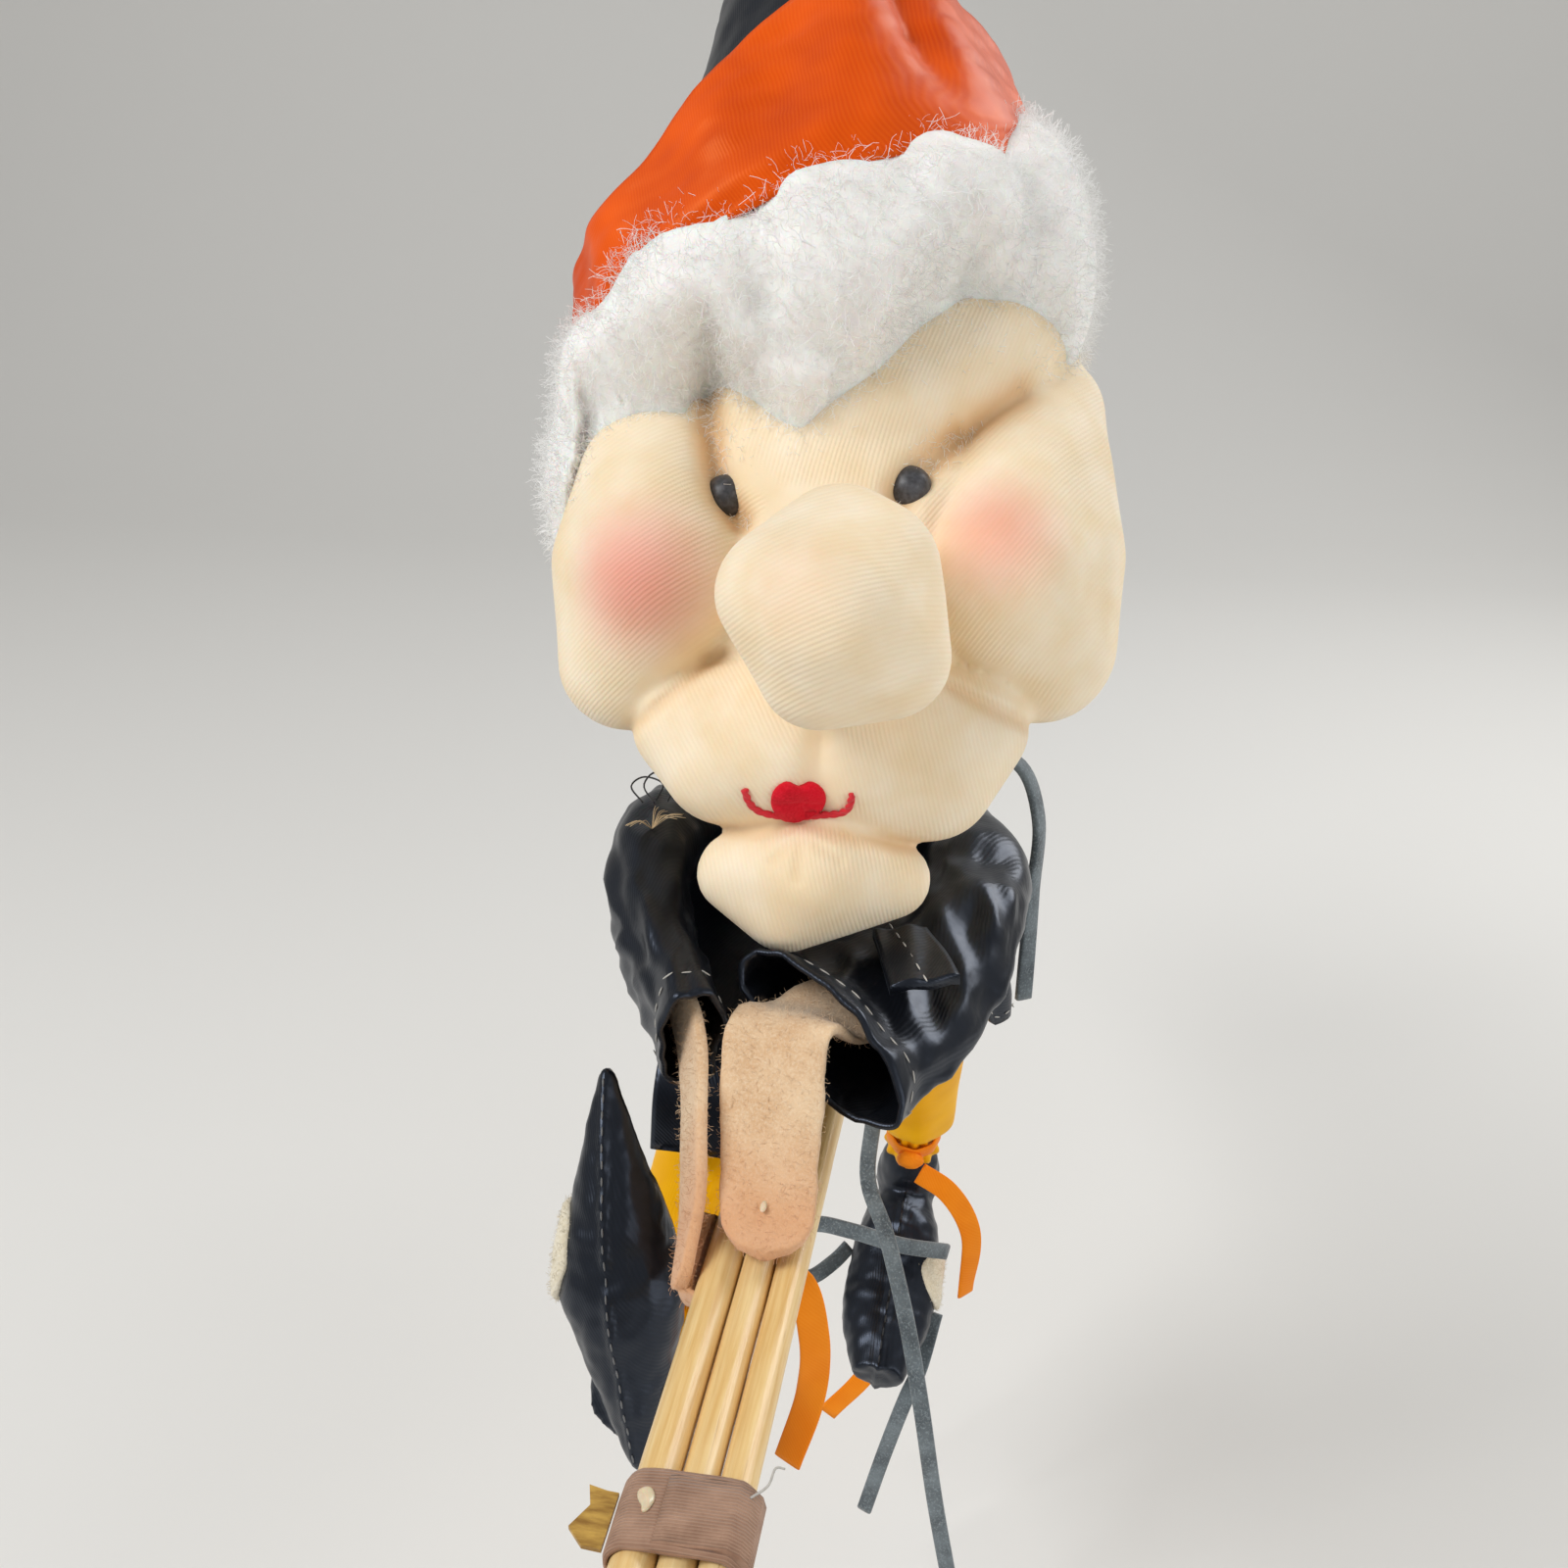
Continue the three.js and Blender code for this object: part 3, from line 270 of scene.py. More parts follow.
def strip(line, across, width, thickness, curl=0.0):
    """A flat strip along a line: across gives its width's direction at each point."""
    rings = []
    for p, d, a in zip(line, directions(line), across):
        a = square_to(a, d)
        n = d.cross(a)
        ring = []
        for angle in turns(16):
            x = width / 2 * squared(math.cos(angle), 0.35)
            z = thickness / 2 * squared(math.sin(angle), 0.6) + curl * (x / (width / 2)) ** 2
            ring.append(p + a * x + n * z)
        rings.append(ring)
    return loft(rings)


def together(shapes):
    """Shapes put side by side in one list of corners and one of faces."""
    corners, faces = [], []
    for more_corners, more_faces in shapes:
        start = len(corners)
        corners += list(more_corners)
        faces += [tuple(i + start for i in face) for face in more_faces]
    return corners, faces


# Pieces

def link(name, data):
    obj = bpy.data.objects.new(name, data)
    bpy.context.scene.collection.objects.link(obj)
    return obj


def drawn(name, place, corners, edges, faces):
    """A mesh drawn in mm in a part's own frame."""
    mesh = bpy.data.meshes.new(name)
    mesh.from_pydata([place @ Vector(c) for c in corners], edges, faces)
    return mesh


def rework(obj, change):
    """Change a piece's mesh by a function of its editable shape."""
    shape = bmesh.new()
    shape.from_mesh(obj.data)
    change(shape)
    shape.to_mesh(obj.data)
    shape.free()


def build(name, shape, place, material=None, smooth=True):
    """A piece from corners and faces in mm in a part's own frame."""
    corners, faces = shape
    obj = link(name, drawn(name, place, corners, [], faces))
    rework(obj, lambda skin: bmesh.ops.recalc_face_normals(skin, faces=skin.faces))
    obj.data.polygons.foreach_set("use_smooth", [smooth] * len(obj.data.polygons))
    if material:
        obj.data.materials.append(material)
    return obj


def paint(obj, material):
    obj.data.materials.clear()
    obj.data.materials.append(material)


def settle(obj):
    """Turn a piece's modifiers into its plain mesh."""
    bpy.context.view_layer.update()
    evaluated = obj.evaluated_get(bpy.context.evaluated_depsgraph_get())
    mesh = bpy.data.meshes.new_from_object(evaluated)
    obj.modifiers.clear()
    obj.data = mesh
    mesh.polygons.foreach_set("use_smooth", [True] * len(mesh.polygons))


def modify(obj, kind, **settings):
    modifier = obj.modifiers.new(kind.lower(), kind)
    for key, value in settings.items():
        setattr(modifier, key, value)


def thicken(obj, thickness):
    """Give an open surface the thickness of its cloth, in mm."""
    modify(obj, "SOLIDIFY", thickness=thickness * MM, offset=-1, use_even_offset=False)
    settle(obj)


def grown_together(obj, voxel, smoothing):
    """The closed shapes of a piece made into one stuffed skin."""
    modify(obj, "REMESH", mode="VOXEL", voxel_size=voxel * MM)
    modify(obj, "SMOOTH", factor=0.5, iterations=smoothing)
    settle(obj)


def fused(shapes, name, place, voxel, smoothing):
    """A piece of closed shapes that are grown together."""
    obj = build(name, together(shapes), place)
    grown_together(obj, voxel, smoothing)
    return obj


def reshape(obj, place, move):
    """Move each corner by a function of its place in the part's own mm."""
    back = place.inverted()
    for vertex in obj.data.vertices:
        vertex.co = place @ move(back @ vertex.co)
    obj.data.update()


def without(obj, name, dropped):
    """A copy of a piece without the faces whose middles a test drops."""
    copy = link(name, obj.data.copy())

    def drop(shape):
        gone = [face for face in shape.faces if dropped(face.calc_center_median())]
        bmesh.ops.delete(shape, geom=gone, context="FACES")

    rework(copy, drop)
    return copy


def skin_tree(obj, place):
    """A piece's skin made ready for searches."""
    corners = [place @ vertex.co for vertex in obj.data.vertices]
    return BVHTree.FromPolygons(corners, [tuple(polygon.vertices) for polygon in obj.data.polygons])


def surface_finder(obj, place):
    """A ray test on a piece's skin in the part's own mm."""
    tree = skin_tree(obj, place.inverted())

    def find(start, direction):
        return tree.ray_cast(Vector(start), Vector(direction).normalized())[:2]

    return find


def ride(obj, body, slot, *replaced):
    if replaced:
        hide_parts(*replaced)
    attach(obj, body)


def piece(name, shape, place, material, body, slot, *replaced):
    """A finished rigid piece."""
    obj = build(name, shape, place, material)
    ride(obj, body, slot, *replaced)
    return obj


# Material tools

def linear(colour):
    """sRGB hex to the linear colour that shaders take."""
    parts = [int(colour[i:i + 2], 16) / 255 for i in (1, 3, 5)]
    return (*[p / 12.92 if p <= 0.04045 else ((p + 0.055) / 1.055) ** 2.4 for p in parts], 1)


def add(tree, kind, inputs=None, **settings):
    """Add a node with its settings; an input takes a value, hex colour, socket or node's first output."""
    node = tree.nodes.new(kind)
    for key, value in settings.items():
        setattr(node, key, value)
    for key, value in (inputs or {}).items():
        if isinstance(value, bpy.types.Node):
            value = value.outputs[0]
        if isinstance(value, bpy.types.NodeSocket):
            tree.links.new(value, node.inputs[key])
        else:
            node.inputs[key].default_value = linear(value) if isinstance(value, str) else value
    return node


def per(size):
    """The scale of a noise texture whose features are about size mm."""
    return 1 / (size * MM)


# A wave texture's scale for ridges one metre apart
RIDGE = 2 * math.pi / 20


def start_material(name):
    """An empty material, its node tree, and the piece's own coordinates in it."""
    material = bpy.data.materials.new(name)
    material.use_nodes = True
    tree = material.node_tree
    tree.nodes.clear()
    return material, tree, add(tree, "ShaderNodeTexCoord").outputs["Object"]


def stained(tree, pattern, low, high, under, over, most=1.0):
    """The colour that turns from under to over where a pattern's value goes from low to high."""
    share = add(tree, "ShaderNodeMapRange", {
        "Value": pattern, "From Min": low, "From Max": high, "To Max": most,
    })
    return add(tree, "ShaderNodeMix", {0: share, 6: under, 7: over}, data_type="RGBA").outputs[2]


def finished(material, surface, height=None, depth=0.0, strength=1.0):
    """A material ended in its shader, with relief of the given depth in mm."""
    tree = material.node_tree
    if height:
        surface["Normal"] = add(tree, "ShaderNodeBump", {
            "Height": height, "Distance": depth * MM, "Strength": strength,
        })
    shader = add(tree, "ShaderNodeBsdfPrincipled", surface)
    add(tree, "ShaderNodeOutputMaterial", {"Surface": shader})
    return material


# Materials

# Blush spots on the face, in the head's mm: centre, reach and strength; the last, on the nose, is a painted
# reflection of the cheeks' blush
BLUSH_AND_NOSE_REFLECTION = [
    ((-30, -33, 3), 14.5, 0.78),
    ((24, -34, 10), 12.5, 0.58),
    # Painted reflection of the cheeks' blush on the nose
    ((-7, -66, -2), 10, 0.1),
]
# The ribs of the real knit are 0.57 mm apart; this is the finest that shows
KNIT_RIB = 0.7


def knitted_nylon():
    """Stocking nylon stretched over white stuffing: fine ribs, soft glow, airbrushed blush, painted shade in
    the creases and a painted reflection of the blush on the nose.
    """
    material, tree, places = start_material("knitted nylon")
    stuffing = add(tree, "ShaderNodeTexNoise", {"Vector": places, "Scale": per(9), "Detail": 2})
    colour = stained(tree, stuffing, 0.3, 0.7, "#F0DAB5", "#F7E8CE")
    for centre, reach, strength in BLUSH_AND_NOSE_REFLECTION:
        away = add(tree, "ShaderNodeVectorMath", {0: places, 1: HEAD @ Vector(centre)}, operation="DISTANCE")
        glow = add(tree, "ShaderNodeMapRange", {
            "Value": away.outputs["Value"], "From Min": reach * MM * 1.15, "From Max": reach * MM * 0.1,
            "To Max": strength,
        }, interpolation_type="SMOOTHSTEP")
        colour = add(tree, "ShaderNodeMix", {0: glow, 6: colour, 7: "#EC8D80"}, data_type="RGBA").outputs[2]
    # Painted shade: a darker, warmer colour where the creases are drawn in
    crease = add(tree, "ShaderNodeAttribute", attribute_name="crease").outputs["Fac"]
    colour = stained(tree, crease, 0.2, 2.4, colour, "#DDAE76", 0.55)
    rib_place = add(tree, "ShaderNodeAttribute", attribute_name="rib_place").outputs["Fac"]
    phase = add(tree, "ShaderNodeMath", {0: rib_place, 1: 2 * math.pi / KNIT_RIB}, operation="MULTIPLY")
    waves = add(tree, "ShaderNodeMath", {0: phase}, operation="SINE")
    rib_depth = add(tree, "ShaderNodeAttribute", attribute_name="rib_depth").outputs["Fac"]
    wales = add(tree, "ShaderNodeMath", {0: waves, 1: rib_depth}, operation="MULTIPLY")
    colour = stained(tree, wales, -1, 1, colour, "#D3AE7A", 0.08)
    loops = add(tree, "ShaderNodeTexNoise", {"Vector": places, "Scale": per(0.3), "Detail": 2})
    low = add(tree, "ShaderNodeMath", {0: wales, 1: 0.3}, operation="MULTIPLY")
    height = add(tree, "ShaderNodeMath", {0: loops, 1: 0.4, 2: low}, operation="MULTIPLY_ADD")
    return finished(material, {
        "Base Color": colour, "Roughness": 0.62, "Subsurface Weight": 0.12, "Subsurface Scale": 0.004,
        "Sheen Weight": 0.12, "Sheen Roughness": 0.5, "Specular IOR Level": 0.25,
    }, height, 0.12, 0.7)


def brushed_batting():
    """Polyester batting teased into white fluff: matt, bright and softly lit through, with painted shade in
    streaks between its strands.
    """
    material, tree, places = start_material("polyester batting")
    tufts = add(tree, "ShaderNodeTexNoise", {"Vector": places, "Scale": per(5), "Detail": 3})
    combed = add(tree, "ShaderNodeMapping", {
        "Vector": places, "Scale": (1, 1, 0.12), "Rotation": (0, 0.25, 0),
    })
    strands_and_shade = add(tree, "ShaderNodeTexNoise", {
        "Vector": combed, "Scale": per(0.5), "Detail": 3, "Roughness": 0.6,
    })
    colour = stained(tree, tufts, 0.3, 0.7, "#ECEAE6", "#F8F7F4")
    # Painted shade: darker streaks between the strands
    colour = stained(tree, strands_and_shade, 0.5, 0.72, colour, "#D6D3CC", 0.15)
    low = add(tree, "ShaderNodeMath", {0: tufts, 1: 0.6}, operation="MULTIPLY")
    height = add(tree, "ShaderNodeMath", {0: strands_and_shade, 1: 0.5, 2: low}, operation="MULTIPLY_ADD")
    return finished(material, {
        "Base Color": colour, "Roughness": 0.95, "Subsurface Weight": 0.35, "Subsurface Scale": 0.004,
        "Sheen Weight": 0.3, "Specular IOR Level": 0.1,
    }, height, 0.5, 0.4)


def loose_fibre():
    """Single polyester fibres: bright, thin and a little glossy."""
    material, tree, places = start_material("polyester fibre")
    tone = add(tree, "ShaderNodeTexNoise", {"Vector": places, "Scale": per(2), "Detail": 2})
    colour = stained(tree, tone, 0, 1, "#F3F2EF", "#FFFFFF")
    return finished(material, {"Base Color": colour, "Roughness": 0.45, "Specular IOR Level": 0.5})


def woven_satin(name, shade, base, light, shine, roughness=0.5, gloss=0.25):
    """Polyester satin: long floats give a broad soft shine of the thread's colour, on faint twill lines."""
    material, tree, places = start_material(name)
    drift = add(tree, "ShaderNodeTexNoise", {"Vector": places, "Scale": per(14), "Detail": 2})
    colour = stained(tree, drift, 0.3, 0.7, shade, base)
    bias = add(tree, "ShaderNodeMapping", {"Vector": places, "Rotation": (0.2, 0.7, 0.5)})
    # Satin threads lie 0.1 mm apart; twill lines 0.45 mm apart are the finest that show
    floats = add(tree, "ShaderNodeTexWave", {
        "Vector": bias, "Scale": RIDGE / (0.45 * MM), "Distortion": 0.1, "Detail": 1.0, "Detail Scale": 0.4,
    }).outputs["Fac"]
    colour = stained(tree, floats, 0.2, 0.9, colour, light, 0.14)
    puckers = add(tree, "ShaderNodeTexNoise", {
        "Vector": places, "Scale": per(7), "Detail": 3, "Roughness": 0.4,
    })
    height = add(tree, "ShaderNodeMath", {0: floats, 1: 0.05, 2: puckers}, operation="MULTIPLY_ADD")
    return finished(material, {
        "Base Color": colour, "Roughness": roughness, "Specular IOR Level": gloss, "Specular Tint": shine,
        "Sheen Weight": 0.03, "Sheen Roughness": 0.35, "Sheen Tint": shine,
    }, height, 0.6, 0.45)


# Where painted shade starts on the hands' felt towards the tips, and where it is darkest, in mm along the
# broom
TIP_SHADE_SPAN = (15, 4)


def pressed_felt(name, shade, base, light, sheen=0.3, tip_shade=None):
    """Wool felt: matted fibres, a fuzzy surface and no weave; the hands get painted shade towards the tips.
    """
    material, tree, places = start_material(name)
    fibres = add(tree, "ShaderNodeTexNoise", {
        "Vector": places, "Scale": per(0.45), "Detail": 5, "Roughness": 0.7,
    })
    patches = add(tree, "ShaderNodeTexNoise", {"Vector": places, "Scale": per(6), "Detail": 3})
    colour = stained(tree, patches, 0.35, 0.65, shade, base)
    colour = stained(tree, fibres, 0.45, 0.75, colour, light, 0.8)
    # Painted shade: the colour darkens towards the hands' tips
    if tip_shade:
        along = add(tree, "ShaderNodeSeparateXYZ", {0: places}).outputs["Y"]
        start, end = ((DOLL @ Vector((0, y, 0))).y for y in TIP_SHADE_SPAN)
        colour = stained(tree, along, start, end, colour, tip_shade, 0.7)
    height = add(tree, "ShaderNodeMath", {0: patches, 1: 0.5, 2: fibres}, operation="MULTIPLY_ADD")
    return finished(material, {
        "Base Color": colour, "Roughness": 0.95, "Sheen Weight": sheen, "Sheen Roughness": 0.6,
        "Specular IOR Level": 0.15,
    }, height, 0.25, 0.8)


def varnished_reed():
    """Peeled reed under clear varnish: straw gold with long pores and a wet shine."""
    material, tree, places = start_material("varnished reed")
    long_grain = add(tree, "ShaderNodeMapping", {"Vector": places, "Scale": (1, 0.035, 1)})
    grain = add(tree, "ShaderNodeTexNoise", {
        "Vector": long_grain, "Scale": per(0.8), "Detail": 4, "Roughness": 0.6,
    })
    long_pores = add(tree, "ShaderNodeMapping", {"Vector": places, "Scale": (1, 0.05, 1)})
    pores = add(tree, "ShaderNodeTexNoise", {"Vector": long_pores, "Scale": per(0.45), "Detail": 2})
    long_stains = add(tree, "ShaderNodeMapping", {"Vector": places, "Scale": (1, 0.25, 1)})
    stains = add(tree, "ShaderNodeTexNoise", {"Vector": long_stains, "Scale": per(9), "Detail": 2})
    colour = stained(tree, grain, 0.3, 0.7, "#D8AC66", "#EED094")
    colour = stained(tree, stains, 0.5, 0.75, colour, "#F6E2B2", 0.4)
    colour = stained(tree, pores, 0.66, 0.78, colour, "#A87C3E", 0.35)
    height = add(tree, "ShaderNodeMath", {0: pores, 1: -0.6, 2: grain}, operation="MULTIPLY_ADD")
    return finished(material, {
        "Base Color": colour, "Roughness": 0.38, "Coat Weight": 0.35, "Coat Roughness": 0.22,
    }, height, 0.2, 0.6)


def dry_straw():
    """Dried broom straw: dull gold stalks of uneven tone."""
    material, tree, places = start_material("dry straw")
    long_tone = add(tree, "ShaderNodeMapping", {"Vector": places, "Scale": (1, 0.06, 1)})
    tone = add(tree, "ShaderNodeTexNoise", {"Vector": long_tone, "Scale": per(1.6), "Detail": 2})
    long_furrows = add(tree, "ShaderNodeMapping", {"Vector": places, "Scale": (1, 0.1, 1)})
    furrows = add(tree, "ShaderNodeTexNoise", {"Vector": long_furrows, "Scale": per(0.4), "Detail": 2})
    colour = stained(tree, tone, 0.3, 0.7, "#A77F3E", "#DDBB74")
    return finished(material, {
        "Base Color": colour, "Roughness": 0.7, "Specular IOR Level": 0.3,
    }, furrows, 0.1, 0.5)


def ribbed_ribbon():
    """Brown paper ribbon: matt, with fine cross ribs and pale rubbed spots."""
    material, tree, places = start_material("ribbed paper ribbon")
    crosswise = add(tree, "ShaderNodeMapping", {"Vector": places, "Rotation": (0, 0, math.pi / 2)})
    ribs = add(tree, "ShaderNodeTexWave", {
        "Vector": crosswise, "Scale": RIDGE / (0.5 * MM), "Distortion": 0.4, "Detail": 1.0,
        "Detail Scale": 0.4,
    }).outputs["Fac"]
    wear = add(tree, "ShaderNodeTexNoise", {
        "Vector": places, "Scale": per(4), "Detail": 4, "Roughness": 0.6,
    })
    colour = stained(tree, wear, 0.3, 0.7, "#84604A", "#AE8870")
    colour = stained(tree, ribs, 0.3, 0.9, colour, "#C2A088", 0.3)
    height = add(tree, "ShaderNodeMath", {0: ribs, 1: 0.6, 2: wear}, operation="MULTIPLY_ADD")
    return finished(material, {
        "Base Color": colour, "Roughness": 0.8, "Sheen Weight": 0.15,
    }, height, 0.25, 0.8)


def golden_tab():
    """Stiff waxed paper: golden brown with darker veins."""
    material, tree, places = start_material("waxed paper")
    drawn_out = add(tree, "ShaderNodeMapping", {"Vector": places, "Scale": (0.25, 1, 1)})
    veins = add(tree, "ShaderNodeTexNoise", {
        "Vector": drawn_out, "Scale": per(1.4), "Detail": 4, "Roughness": 0.6,
    })
    colour = stained(tree, veins, 0.35, 0.65, "#8D6628", "#CDA550")
    return finished(material, {"Base Color": colour, "Roughness": 0.45}, veins, 0.2, 0.7)


def dull_bead():
    """Moulded bead: charcoal plastic with a dull skin."""
    material, tree, places = start_material("moulded bead")
    dust = add(tree, "ShaderNodeTexNoise", {"Vector": places, "Scale": per(0.8), "Detail": 3})
    colour = stained(tree, dust, 0.4, 0.8, "#303135", "#53545A")
    return finished(material, {"Base Color": colour, "Roughness": 0.42})


def split_suede():
    """Suede lacing: grey with a short nap and paler rubbed edges."""
    material, tree, places = start_material("split suede")
    nap = add(tree, "ShaderNodeTexNoise", {
        "Vector": places, "Scale": per(0.5), "Detail": 4, "Roughness": 0.65,
    })
    rubbed = add(tree, "ShaderNodeTexNoise", {"Vector": places, "Scale": per(6), "Detail": 2})
    colour = stained(tree, rubbed, 0.35, 0.65, "#4E565B", "#6E787D")
    colour = stained(tree, nap, 0.5, 0.75, colour, "#8D989D")
    return finished(material, {
        "Base Color": colour, "Roughness": 0.85, "Sheen Weight": 0.4, "Sheen Roughness": 0.5,
        "Specular IOR Level": 0.2,
    }, nap, 0.15, 0.8)


def spun_thread(name, shade, base):
    """Spun sewing thread: two plies, faintly glossy."""
    material, tree, places = start_material(name)
    ply = add(tree, "ShaderNodeTexNoise", {"Vector": places, "Scale": per(0.5), "Detail": 2})
    colour = stained(tree, ply, 0, 1, shade, base)
    return finished(material, {"Base Color": colour, "Roughness": 0.6, "Sheen Weight": 0.2}, ply, 0.08, 0.6)


def clear_glue():
    """Hardened hot glue: milky and glossy."""
    material, tree, places = start_material("hot glue")
    haze = add(tree, "ShaderNodeTexNoise", {"Vector": places, "Scale": per(1.5), "Detail": 2})
    colour = stained(tree, haze, 0, 1, "#CDB58C", "#EADCC2")
    return finished(material, {
        "Base Color": colour, "Roughness": 0.18, "Subsurface Weight": 0.3, "Subsurface Scale": 0.002,
    })


def plain_muslin():
    """Unbleached muslin: a plain matt weave."""
    material, tree, places = start_material("muslin")
    leant = add(tree, "ShaderNodeMapping", {"Vector": places, "Rotation": (0, 0.1, 0)})
    weave = add(tree, "ShaderNodeTexWave", {
        "Vector": leant, "Scale": RIDGE / (0.5 * MM), "Distortion": 0.2, "Detail": 1.0, "Detail Scale": 0.4,
    }).outputs["Fac"]
    tone = add(tree, "ShaderNodeTexNoise", {"Vector": places, "Scale": per(6), "Detail": 3})
    colour = stained(tree, tone, 0.3, 0.7, "#D8CAAE", "#EBE0C9")
    height = add(tree, "ShaderNodeMath", {0: weave, 1: 0.5, 2: tone}, operation="MULTIPLY_ADD")
    return finished(material, {
        "Base Color": colour, "Roughness": 0.9, "Sheen Weight": 0.15,
    }, height, 0.2, 0.6)


NYLON = knitted_nylon()
BATTING = brushed_batting()
FIBRE = loose_fibre()
BLACK = woven_satin("black satin", "#07080B", "#0F1116", "#1C1F28", "#C8D6F0", 0.31, 0.6)
ORANGE = woven_satin("orange satin", "#C63E0A", "#E8560E", "#F8761E", "#FFAA58", 0.42, 0.45)
YELLOW = woven_satin("yellow satin", "#E6A004", "#F9B80E", "#FFCE30", "#FFD870")
RIBBON = woven_satin("orange ribbon satin", "#EC7C10", "#FA921F", "#FFA83E", "#FFC080")
# The last colour is painted shade towards the hands' tips
HAND_FELT = pressed_felt("peach felt", "#DDB68C", "#EBCBA4", "#F6E0C2", 0.3, "#DFA070")
RED_FELT = pressed_felt("red felt", "#C00A1E", "#D60C24", "#E62438", 0.05)
CREAM_FELT = pressed_felt("cream felt", "#DCD0B4", "#ECE3CD", "#F7F1E2")
REED = varnished_reed()
STRAW = dry_straw()
PAPER_RIBBON = ribbed_ribbon()
TAB = golden_tab()
BEAD = dull_bead()
SUEDE = split_suede()
WHITE_THREAD = spun_thread("white thread", "#A19E98", "#CBC8C0")
GREY_THREAD = spun_thread("grey thread", "#4A4B4D", "#77787A")
RED_THREAD = spun_thread("red thread", "#BC0A1E", "#DC1028")
BLACK_THREAD = spun_thread("black thread", "#0C0D10", "#1D1F24")
PALE_THREAD = spun_thread("pale thread", "#B99C74", "#E4CDA6")
GLUE = clear_glue()
MUSLIN = plain_muslin()


# Cords

RIBBON_WIDTH = 5
RIBBON_THICKNESS = 0.8
LACE_WIDTH = 3.6
LACE_THICKNESS = 1.6


def flat_cord(name, route, ways, width, thickness, material, slot, body, far_end="bare", root=None):
    """A free ribbon or lace, laid along the route that its solid follows and turned as it hangs."""
    steps = 60
    line = curve_through(route, steps)
    across = [blended([Vector(way) for way in ways], i / steps) for i in range(steps + 1)]
    obj = build(f"{name}_strip", strip(line, across, width, thickness), DOLL, material)
    if root:
        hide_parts(name)
        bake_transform(obj)
    else:
        ride(obj, body, slot, name)


def ribbon_tails():
    ribbon = (RIBBON_WIDTH, RIBBON_THICKNESS, RIBBON, "orange_ribbon")
    front = [(14.2, 128.6, -75), (21, 126.5, -78), (26.5, 126, -88), (26.1, 125, -105)]
    front_ways = [(0.2, 0.5, 1), (0.8, 0.6, 0.8), (1, 0.7, 0.1), (0.7, 0.9, 0)]
    back = [
        (12, 144, -71.4), (13.5, 160, -82), (13, 162.5, -104), (10, 150, -128), (3, 138, -143),
        (-7, 134, -155),
    ]
    back_ways = [(1, 0, 0), (1, 0.2, 0)]
    right = [(-10.9, 24, -28.4), (-4, 23, -21), (3, 21, -18), (6, 20, -28), (5.5, 20, -40), (2, 18, -53)]
    right_ways = [(0, 1, 0.2), (0.2, 1, 0.5), (1, 0.4, 0.6), (1, 0.3, 0.2), (1, -0.2, 0), (1, -0.4, 0)]
    flat_cord("left_ribbon_tail_front", front, front_ways, *ribbon, "left_leg")
    flat_cord("left_ribbon_tail_back", back, back_ways, *ribbon, "left_leg")
    flat_cord("right_ribbon_tail", right, right_ways, *ribbon, "right_leg")


def laces():
    lace = (LACE_WIDTH, LACE_THICKNESS, SUEDE, "suede")
    loop = [
        (21.4, 124.4, -93), (11, 117, -86.5), (0, 117, -84), (-8, 118, -84), (-14, 120, -90),
        (-14.5, 122, -99), (-10.5, 124, -104.5), (-5, 127.5, -102), (-1.8, 130.6, -99.5),
    ]
    loop_ways = [(0, 0.3, 1), (0, 0.5, 1), (0.3, 0.6, 1)]
    long_tail = [
        (3.6, 126.7, -60.2), (3.5, 119, -71), (8.6, 110, -78), (14.5, 99, -91), (18.8, 92, -107),
        (23, 91, -134.3), (28, 91, -163),
    ]
    long_ways = [(1, 0, 0.2), (1, 0.1, 0.3)]
    short_tail = [
        (19.7, 119.6, -106.9), (17, 113, -118), (14.5, 110, -124), (10, 110, -141), (5.5, 110, -160),
    ]
    short_ways = [(1, 0, 0.2), (1, -0.3, 0)]
    neck_tie = [
        (8.8, 107.4, 33.9), (20, 113, 36), (31, 116, 33), (35.6, 116, 22), (35.4, 115, 5), (35, 115, -18.7),
    ]
    neck_ways = [(0, 1, 0), (0.5, 1, 0), (1, 0.6, 0)]
    flat_cord("boot_lace_loop", loop, loop_ways, *lace, "left_foot", far_end="object")
    flat_cord("boot_lace_long_tail", long_tail, long_ways, *lace, "left_foot", root="left_leg")
    flat_cord("boot_lace_short_tail", short_tail, short_ways, *lace, "left_foot")
    flat_cord("neck_lace", neck_tie, neck_ways, *lace, "body")


# Geometry node trees for stitches, fibres and straws

def node_tree(name, *sizes):
    """An empty geometry tree with named sizes in metres, and the sockets that give them."""
    tree = bpy.data.node_groups.new(name, "GeometryNodeTree")
    tree.interface.new_socket("Geometry", in_out="INPUT", socket_type="NodeSocketGeometry")
    for size in sizes:
        tree.interface.new_socket(size, in_out="INPUT", socket_type="NodeSocketFloat")
    tree.interface.new_socket("Material", in_out="INPUT", socket_type="NodeSocketMaterial")
    tree.interface.new_socket("Geometry", in_out="OUTPUT", socket_type="NodeSocketGeometry")
    return tree, tree.nodes.new("NodeGroupInput").outputs


def scattered(tree, given, places):
    """End a tree with the pieces that are placed on points, as one painted mesh."""
    placed = add(tree, "GeometryNodeInstanceOnPoints", places)
    real = add(tree, "GeometryNodeRealizeInstances", {"Geometry": placed})
    painted = add(tree, "GeometryNodeSetMaterial", {"Geometry": real, "Material": given["Material"]})
    add(tree, "NodeGroupOutput", {0: painted})
    return tree


